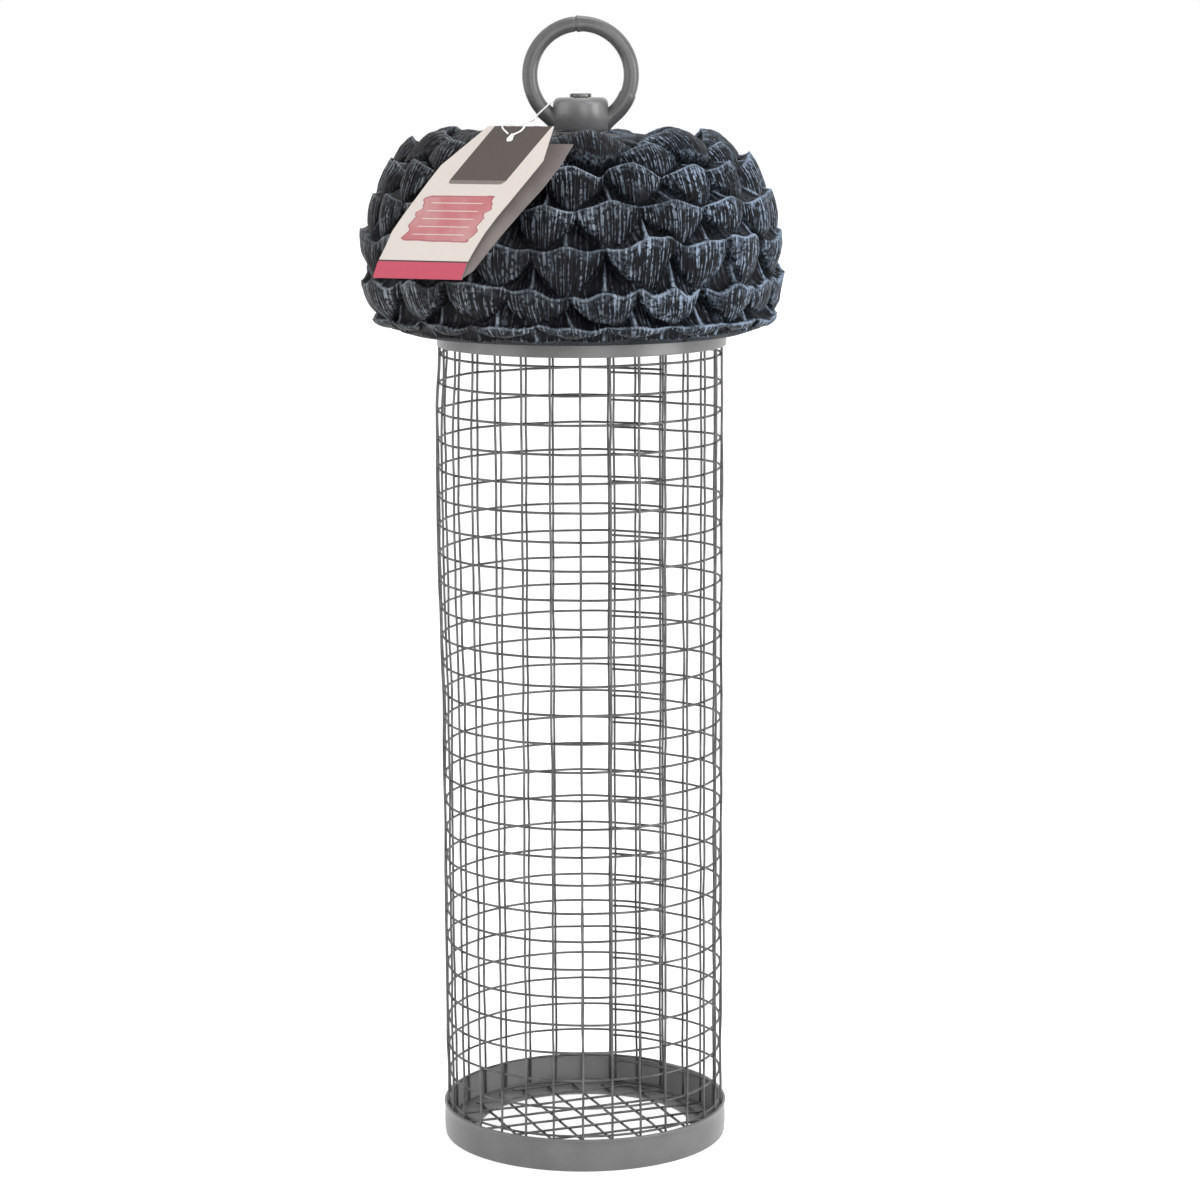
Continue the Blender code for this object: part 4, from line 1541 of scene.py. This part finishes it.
    def build(self, finishes: Finishes) -> None:
        """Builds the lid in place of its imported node.

        Args:
            finishes: The shared finishes.
        """
        rng = np.random.default_rng(self.seed)
        columns = self.scales_round * self.columns_per_scale
        azimuths = np.arange(columns) / columns * math.tau
        last = len(self.ridge_rows) - 1
        rows = np.linspace(0, last, last * self.rows_per_ridge + 1)
        all_scales = self._scales(rng)
        shifts = np.array([self._ridge_shift(scales, azimuths) for scales in all_scales])
        shifts[0] = shifts[-1] = 0
        blank, slope = self._blank(rows, shifts)
        made = self._relief(rows, azimuths, all_scales)

        height = np.clip(made["height"], self.valley, 1.2)
        sunk = blank[..., 2] * (1 - height)
        rise = self.lip_rise * made["lip"] * np.clip(height, 0, 1)

        def placed(extra: np.ndarray | float) -> np.ndarray:
            """The grid's points, with the surface let out by an extra height."""
            radii = blank[..., 0] + slope[..., 1] * (sunk - extra) - slope[..., 0] * rise
            heights = blank[..., 1] - slope[..., 0] * (sunk - extra) - slope[..., 1] * rise
            return np.stack([radii * np.sin(azimuths), -radii * np.cos(azimuths), heights], -1)

        points = placed(0.0)
        coarse, fine = self.rough_sizes
        rough = self._fractal(points, coarse, 4) + self.fine_share * self._fractal(points, fine, 3)
        rough *= self.rough_depth * smooth_step(rows / 0.6)[:, None]
        points = placed(rough)
        points[0, :, 2] = self.height

        surface = (rough - sunk) * 1000
        raised = np.clip((surface - self._blurred(surface, 4, 6)) / 0.85, 0, 1)
        # How deep each point lies below the scales, which darkens the hollows as painted shade and keeps
        # flecks out of them
        sunken = np.clip(0.62 - height, 0, 1) / 0.62
        section = self._inside()
        under = np.array([[(r * math.sin(a), -r * math.cos(a), z) for a in azimuths] for r, z in section])
        for part in (points, under[:1]):
            leaning = smooth_step(part[..., 2] / self.upright_above)
            part[..., 0] += self.side_shift * (self.foot_share + (1 - self.foot_share) * leaning)
        grid = np.concatenate([points, under])
        grid[..., 2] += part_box("swivel_hub")[0].z - self.height - self.washer_gap

        mesh = grid_mesh("cone_lid", grid)
        plain = np.zeros((len(section), columns, 3))
        marks = {
            "front": made["front"],
            "lip": made["lip"] * np.clip((last - rows) / 0.3, 0, 1)[:, None],
            "keel": made["keel"],
            "raised": raised,
            "sunk": sunken,
        }
        for name, values in marks.items():
            data = mesh.attributes.new(name, "FLOAT", "POINT").data
            data.foreach_set("value", np.vstack([values, plain[..., 0]]).ravel())
        stroke = np.stack([made["across"] * self.radius, made["down"] * self.row_height, made["number"]], -1)
        data = mesh.attributes.new("stroke", "FLOAT_VECTOR", "POINT").data
        data.foreach_set("vector", np.concatenate([stroke, plain]).ravel())
        close_mesh(mesh)
        shade(mesh, 180.0)
        material = BrushedResin("brushed_resin", row_height=self.row_height).material(self.side_shift)
        lid = new_piece("cone_lid", mesh, material)
        present(lid, Body.LID, ["pine_cone"])


@dataclass
class LidFixings:
    """What clamps the lid: the stud with its head, the washers, the nut and the pan."""

    head_radius: float = 0.00285
    head_thickness: float = 0.0010
    head_drop: float = 0.00030
    stud_radius: float = 0.0020
    stud_edge: float = 0.0003
    washer_edge: float = 0.00025
    washer_radius: float = 0.0066

    def build(self, finishes: Finishes) -> None:
        """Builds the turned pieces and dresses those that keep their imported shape.

        Args:
            finishes: The shared finishes.
        """
        low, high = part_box("centre_stud")
        top = high.z - self.head_drop
        head = top - self.head_thickness
        edge = self.stud_edge
        outline = [
            (0.0, top),
            (self.head_radius * 0.55, top - 0.00004),
            *arc((self.head_radius - edge, top - edge - 0.00006), edge, 80, 0, 5),
            (self.head_radius, head + edge / 2),
            (self.head_radius - edge / 2, head),
            (self.stud_radius, head),
            (self.stud_radius, low.z + edge),
            (self.stud_radius - edge, low.z),
            (0.0, low.z),
        ]
        stud = lathe("stud", outline, finishes.plate, 48)
        present(stud, Body.LID, ["centre_stud"])
        low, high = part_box("hub_washer")
        edge = self.washer_edge
        bore = self.stud_radius * 1.15
        outline = [
            (bore, low.z),
            *arc((self.washer_radius - edge, low.z + edge), edge, -90, 0, 4),
            *arc((self.washer_radius - edge, high.z - edge), edge, 0, 90, 4),
            (bore, high.z),
        ]
        washer = lathe("washer_under_hub", outline, finishes.coat, 80)
        present(washer, Body.LID, ["hub_washer"])
        for name in ("nut_washer", "stud_nut"):
            dress_node(name, finishes.plate)
        dress_node("lid_pan", finishes.pressed)


@dataclass
class HubAndRing:
    """Cast hub and the rod ring let into its sides, with a thick seam at the ring's top."""

    hub_radius: float = 0.0075
    draft_share: float = 0.975
    hub_edge: float = 0.0017
    bore_radius: float = 0.0023
    ring_radius: float = 0.0134
    rod_radius: float = 0.00203
    entry_height: float = 0.0032
    entry_depth: float = 0.0016
    arm_share: float = 1.13
    arm_angles: tuple[float, float] = (math.radians(70.0), math.radians(50.0))
    seam_share: float = 1.09
    seam_turn: float = 0.067
    # How the seam fades past it and before it, and the crease beyond it, in radians
    seam_fades: tuple[float, float] = (0.022, 0.085)
    crease_share: float = 0.085
    crease_turn: float = 0.030
    crease_fade: float = 0.024
    flare_share: float = 0.42
    sides: int = 28
    steps: int = 421

    def _rod_share(self, angle: float) -> float:
        """Thickness of the ring's rod at an angle from straight down, as a share of its radius.

        Args:
            angle: The angle, in radians.

        Returns:
            The share.
        """
        past_seam = angle - math.pi - self.seam_turn
        fade = self.seam_fades[0 if past_seam > 0 else 1]
        seam = (self.seam_share - 1) * math.exp(-((past_seam / fade) ** 2))
        crease = self.crease_share * math.exp(-(((past_seam - self.crease_turn) / self.crease_fade) ** 2))
        from_foot = min(angle, math.tau - angle)
        arm_angle = self.arm_angles[0 if angle < math.pi else 1]
        turned_in = (arm_angle - from_foot) / math.radians(2.5)
        arm = (self.arm_share - 1) * float(smooth_step(np.array(turned_in)))
        flare = self.flare_share * max(0.0, (math.radians(40.0) - from_foot) / math.radians(14.0)) ** 2
        return 1 + seam - crease + arm + flare

    def build(self, finishes: Finishes) -> None:
        """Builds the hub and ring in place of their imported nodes.

        Args:
            finishes: The shared finishes.
        """
        low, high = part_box("swivel_hub")
        top_radius = self.hub_radius * self.draft_share
        edge = self.hub_edge
        outline = [
            (self.bore_radius, high.z - 0.0002),
            (self.bore_radius + 0.0009, high.z - 0.00005),
            (top_radius - edge - 0.0006, high.z),
            *arc((top_radius - edge, high.z - edge), edge, 82, 2, 9),
            (self.hub_radius, low.z + 0.0004),
            (self.hub_radius - 0.0003, low.z),
            (self.bore_radius, low.z),
        ]
        hub = lathe("hub", outline, finishes.coat, 96)
        present(hub, Body.HANGER, ["swivel_hub"])

        centre = low.z + self.entry_height + math.sqrt(self.ring_radius**2 - self.hub_radius**2)
        start = math.asin((self.hub_radius - self.entry_depth) / self.ring_radius)
        angles = np.linspace(start, math.tau - start, self.steps)
        radius = self.ring_radius
        path = np.stack([radius * np.sin(angles), 0 * angles, centre - radius * np.cos(angles)], -1)
        shares = [self._rod_share(float(a)) for a in angles]
        ring = sweep(
            "ring",
            path,
            lambda k, around: np.full(len(around), self.rod_radius * shares[k]),
            self.sides,
            finishes.rod,
        )
        present(ring, Body.HANGER, ["hanging_ring"])


@dataclass
class SwingTag:
    """A card folded at its foot, with a rounded fold and slightly curled leaves."""

    width: float = 0.0250
    height: float = 0.0381
    card: float = 0.0004
    azimuth: float = math.radians(-20.5)
    fold_shift: float = -0.0335
    distance: float = 0.06025
    fold_height: float = 0.23915
    fold_radius: float = 0.0004
    front_lean: float = math.radians(3.8)
    back_lean: float = math.radians(9.0)
    curl: float = 0.0007
    shear_share: float = 0.986
    # Each leaf's left and right edges, as (height, across) shares from the left end of the fold
    front_left: Outline = (
        (0, 0), (0.09, 0.046), (0.20, 0.133), (0.30, 0.204),
        (0.41, 0.326), (0.64, 0.603), (0.74, 0.73), (1.0, 1.24),
    )
    front_right: Outline = (
        (0, 0.97), (0.10, 1.028), (0.20, 1.117), (0.30, 1.216),
        (0.41, 1.349), (0.50, 1.47), (0.775, 1.83), (1.0, 1.94),
    )
    back_left: Outline = ((0, 0), (0.89, 1.05))
    back_right: Outline = (
        (0, 0.97), (0.05, 1.084), (0.25, 1.321), (0.45, 1.581),
        (0.60, 1.79), (0.75, 1.965), (0.89, 2.09),
    )
    hole_share: tuple[float, float] = (1.49, 0.925)
    fold_turns: tuple[float, ...] = (-40.0, -70.0, -110.0, -140.0)
    columns: int = 14
    front_rows: int = 30
    back_rows: int = 24

    def place(self, across: float, rise: float, lean: float, stand: float = 0.0) -> Vector:
        """A point of a leaf.

        Args:
            across: Share of the width from the fold's left end.
            rise: Share of the height above the fold.
            lean: How far the leaf leans back.
            stand: Distance in front of the leaf.

        Returns:
            The point.
        """
        out = outward(self.azimuth)
        along = outward(self.azimuth + math.pi / 2)
        climb = rise * self.height
        point = out * (self.distance - climb * math.sin(lean) + stand)
        point += along * (self.fold_shift + across * self.width)
        point.z = self.fold_height + climb * math.cos(lean)
        return point

    def _leaf(self, left: Outline, right: Outline, lean: float, side: float, rows: int) -> list:
        """Rows of (point, map place) from the fold to the leaf's top.

        Args:
            left: The leaf's left edge.
            right: Its right edge.
            lean: How far it leans back, in radians.
            side: 1 for the front leaf and -1 for the back one.
            rows: Rows, without those at the edges' own corners.

        Returns:
            The rows.
        """
        leaf = []
        top = left[-1][0]
        levels = sorted({*np.linspace(0, top, rows), *(h for h, _ in (*left, *right))})
        for level in levels:
            start = np.interp(level, *zip(*left))
            end = np.interp(level, *zip(*right))
            line = []
            for k in range(self.columns + 1):
                across = start + (end - start) * k / self.columns
                bow = self.curl * math.sin(math.pi * k / self.columns) * (level / top) * side
                point = self.place(across, level, lean, self.fold_radius * side + bow)
                line.append((point, (across - self.shear_share * level, level)))
            leaf.append(line)
        return leaf

    def build(self, finishes: Finishes) -> bpy.types.Object:
        """Builds the tag.

        Args:
            finishes: The shared finishes.

        Returns:
            The tag.
        """
        columns = self.columns
        front = self._leaf(self.front_left, self.front_right, self.front_lean, 1.0, self.front_rows)
        back = self._leaf(self.back_left, self.back_right, self.back_lean, -1.0, self.back_rows)
        fold = []
        for turn in self.fold_turns:
            line = []
            for k in range(columns + 1):
                across = 0.97 * k / columns
                point = self.place(across, 0, 0, self.fold_radius * math.cos(math.radians(turn)))
                point.z += self.fold_radius * math.sin(math.radians(turn))
                line.append((point, (across, 0)))
            fold.append(line)
        rows = front[::-1] + fold + back
        mesh = bpy.data.meshes.new("tag")
        shape = bmesh.new()
        layer = shape.loops.layers.uv.new("card")
        verts = [[shape.verts.new(point) for point, _ in row] for row in rows]
        for i in range(len(rows) - 1):
            for k in range(columns):
                corners = [(i, k), (i + 1, k), (i + 1, k + 1), (i, k + 1)]
                face = shape.faces.new([verts[a][b] for a, b in corners])
                for loop, (a, b) in zip(face.loops, corners):
                    loop[layer].uv = rows[a][b][1]
        shape.to_mesh(mesh)
        shape.free()
        tag = new_piece("tag", mesh, finishes.print_side)
        mesh.materials.append(finishes.plain_side)
        fold_end = len(front) + 2
        for number, polygon in enumerate(mesh.polygons):
            polygon.material_index = 0 if number // columns < fold_end else 1
        thicken = tag.modifiers.new("card", "SOLIDIFY")
        thicken.thickness = self.card
        thicken.offset = -1.0
        thicken.material_offset = 1
        thicken.material_offset_rim = 1
        graph = bpy.context.evaluated_depsgraph_get()
        solid = bpy.data.meshes.new_from_object(tag.evaluated_get(graph))
        tag.modifiers.clear()
        tag.data = solid
        shade(solid, 50.0)
        present(tag, Body.HANGER, ["swing_tag"])
        return tag


@dataclass
class TagString:
    """Two-ply cotton from the knot over the lid, round the ring's arm and back, and its knot."""

    radius: float = 0.00020
    plies: int = 2
    twist_length: float = 0.0030
    knot_radius: float = 0.00068
    knot_length: float = 0.0026
    knot_lean: float = math.radians(42.0)
    sides: int = 12
    steps_per_point: int = 14
    # The string's route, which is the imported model's own
    route: tuple[Place, ...] = (
        (-0.0165, -0.0573, 0.2751),
        (-0.0144, -0.0578, 0.2762),
        (-0.0134, -0.0568, 0.2775),
        (-0.0129, -0.0503, 0.2777),
        (-0.0122, -0.0350, 0.2771),
        (-0.0117, -0.0200, 0.2771),
        (-0.0117, -0.0080, 0.2775),
        (-0.0117, -0.0028, 0.2780),
        (-0.0104, -0.0031, 0.2793),
        (-0.0090, -0.0027, 0.2806),
        (-0.0078, -0.0012, 0.2816),
        (-0.0077, 0.0012, 0.2816),
        (-0.0091, 0.0028, 0.2802),
        (-0.0108, 0.0029, 0.2782),
        (-0.0126, 0.0014, 0.2768),
        (-0.0139, -0.0030, 0.2763),
        (-0.0151, -0.0120, 0.2762),
        (-0.0163, -0.0280, 0.2763),
        (-0.0177, -0.0440, 0.2772),
        (-0.0188, -0.0533, 0.2777),
        (-0.0192, -0.0562, 0.2768),
        (-0.0178, -0.0568, 0.2753),
    )

    def path(self) -> np.ndarray:
        """The string's centreline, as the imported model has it."""
        route = np.array(self.route)
        return spline(route, np.linspace(0, len(route) - 1, (len(route) - 1) * self.steps_per_point + 1))

    def build(self, finishes: Finishes, tag: bpy.types.Object, knot_place: Vector) -> None:
        """Args:
            finishes: The shared finishes.
            tag: The tag that hangs on it. Not used.
            knot_place: The knot's middle.
        """
        knot = self._build_knot(finishes, knot_place)
        path = self.path()
        steps = np.linalg.norm(np.diff(path, axis=0), axis=1)
        run = np.concatenate([[0.0], np.cumsum(steps)])

        def section(k: int, around: np.ndarray) -> np.ndarray:
            """Two plies that turn about each other."""
            turn = around - run[k] / self.twist_length * math.tau / self.plies
            return self.radius * (0.84 + 0.16 * np.abs(np.cos(turn * self.plies / 2)) ** 0.8)

        string = sweep("string", path, section, self.sides, finishes.cotton)
        present(string, Body.HANGER, ["tag_string"])

    def _build_knot(self, finishes: Finishes, place: Vector) -> bpy.types.Object:
        """A tight knot, its turns wound through each other.

        Args:
            finishes: The shared finishes.
            place: Its middle.

        Returns:
            The knot.
        """
        turns = np.linspace(0, math.tau, 121)[:-1]
        wide = self.knot_radius - self.radius
        tall = self.knot_length / 2 - self.radius
        reach = (2 + np.cos(3 * turns)) / 3
        x, z = wide * reach * np.cos(2 * turns), tall * reach * np.sin(2 * turns)
        path = np.stack([x, wide * 0.75 * np.sin(3 * turns), z], -1)
        lean = np.array(Matrix.Rotation(self.knot_lean, 3, "Y"))
        path = path @ lean.T + np.array(place)
        thread = self.radius * 1.02
        knot = sweep("knot", path, lambda k, around: np.full(len(around), thread), 10, finishes.cotton, True)
        return present(knot, Body.HANGER, ["string_knot"])


# Studio


@dataclass
class Studio:
    """White floor and surround, soft lamps and the camera."""

    camera_place: Place = (0.00465, -0.933, 0.3051)
    pitch: float = math.radians(9.548)
    roll: float = math.radians(-0.2)
    focal_length: float = 104.9
    sensor: float = 36.0
    floor_size: float = 12.0
    floor_drop: float = 0.0001
    floor_tint: Colour = (0.86, 0.86, 0.86)
    floor_glow: float = 0.60
    # The surround's strength as light, where it isn't seen
    surround: float = 0.62
    # What the lamps face, and each one's name, place, size and power
    aim: Place = (0, 0, 0.19)
    lamps: tuple[tuple[str, Place, float, float], ...] = (
        ("key", (0.75, -0.85, 0.95), 0.45, 2.8),
        ("left", (-1.00, -0.30, 0.34), 0.85, 2.4),
        ("right", (0.97, -0.45, 0.34), 0.60, 4.3),
        ("front", (0.24, -1.15, 0.30), 0.60, 1.8),
        ("top", (0.10, 0.25, 1.20), 0.60, 3.0),
    )

    def build_camera(self) -> None:
        """Sets the scene's camera to the photograph's view."""
        data = bpy.data.cameras.new("camera")
        data.lens = self.focal_length
        data.sensor_width = self.sensor
        data.clip_start = 0.01
        camera = new_object("camera", data)
        turn = Matrix.Rotation(math.pi / 2 - self.pitch, 4, "X") @ Matrix.Rotation(self.roll, 4, "Z")
        camera.matrix_world = Matrix.Translation(self.camera_place) @ turn
        bpy.context.scene.camera = camera

    def _seen_share(self, bench: NodeBench) -> Term:
        """1 for rays that show the surround itself, in a mirror or through glass too."""
        paths = bench.add("ShaderNodeLightPath")
        camera = bench.term(paths, "Is Camera Ray")
        return camera.most(bench.term(paths, "Is Glossy Ray")).most(bench.term(paths, "Is Transmission Ray"))

    def _build_floor(self) -> None:
        """A white floor that keeps the shadow."""
        mesh = bpy.data.meshes.new("floor")
        half = self.floor_size / 2
        corners = [(-half, -half), (half, -half), (half, half), (-half, half)]
        mesh.from_pydata([(x, y, -self.floor_drop) for x, y in corners], [], [(0, 1, 2, 3)])
        bench = MaterialBench("white_floor")
        glow = self._seen_share(bench) * self.floor_glow
        emission = bench.add("ShaderNodeEmission", Color=(1, 1, 1, 1), Strength=glow)
        total = bench.add("ShaderNodeAddShader")
        output = bench.tree.nodes["Material Output"]
        bench.tree.links.new(bench.shader.outputs[0], total.inputs[0])
        bench.tree.links.new(emission.outputs[0], total.inputs[1])
        bench.tree.links.new(total.outputs[0], output.inputs["Surface"])
        grain = bench.cloud(bench.place(), 0.004, detail=2.0)
        material = bench.finish(
            Base_Color=self.floor_tint,
            Roughness=0.75 + (grain - 0.5) * 0.1,
            Specular_IOR_Level=0.2,
        )
        floor = new_piece("floor", mesh, material)

    def _build_world(self) -> None:
        """White surround that lights the object softly."""
        world = bpy.data.worlds.new("surround")
        bpy.context.scene.world = world
        world.use_nodes = True
        bench = NodeBench(world.node_tree)
        background = world.node_tree.nodes["Background"]
        background.inputs["Color"].default_value = (1, 1, 1, 1)
        strength = self.surround + self._seen_share(bench) * (1 - self.surround)
        bench.feed(background.inputs["Strength"], strength)

    def _build_lamp(self, name: str, place: Place, size: float, power: float) -> None:
        """A square soft lamp that faces the middle of the feeder.

        Args:
            name: Its name.
            place: Where it hangs.
            size: Its width.
            power: Its power, in watts.
        """
        data = bpy.data.lights.new(name, "AREA")
        data.shape = "SQUARE"
        data.size = size
        data.energy = power
        turn = (Vector(self.aim) - Vector(place)).to_track_quat("-Z", "Y")
        new_object(name, data).matrix_world = Matrix.Translation(place) @ turn.to_matrix().to_4x4()

    def build(self) -> None:
        """Builds the floor, the surround and the lamps."""
        self._build_floor()
        self._build_world()
        for lamp in self.lamps:
            self._build_lamp(*lamp)
        bpy.context.scene.view_settings.view_transform = "Standard"


def main() -> None:
    """Builds the camera, the feeder's pieces from the cord on, and the studio."""
    logging.basicConfig(level=logging.INFO, format="%(message)s")
    studio = Studio()
    studio.build_camera()
    finishes = Finishes.make()

    tag_sizes = SwingTag()
    string = TagString()
    tag = tag_sizes.build(finishes)
    stand = tag_sizes.card / 2 + string.knot_radius + 0.0003
    knot_place = tag_sizes.place(*tag_sizes.hole_share, tag_sizes.front_lean, stand)
    string.build(finishes, tag, knot_place)

    for assembly in (BaseCup, MeshTube, FloorMesh, Collar, PineConeLid, LidFixings, HubAndRing):
        assembly().build(finishes)
    studio.build()


if __name__ == "__main__":
    main()
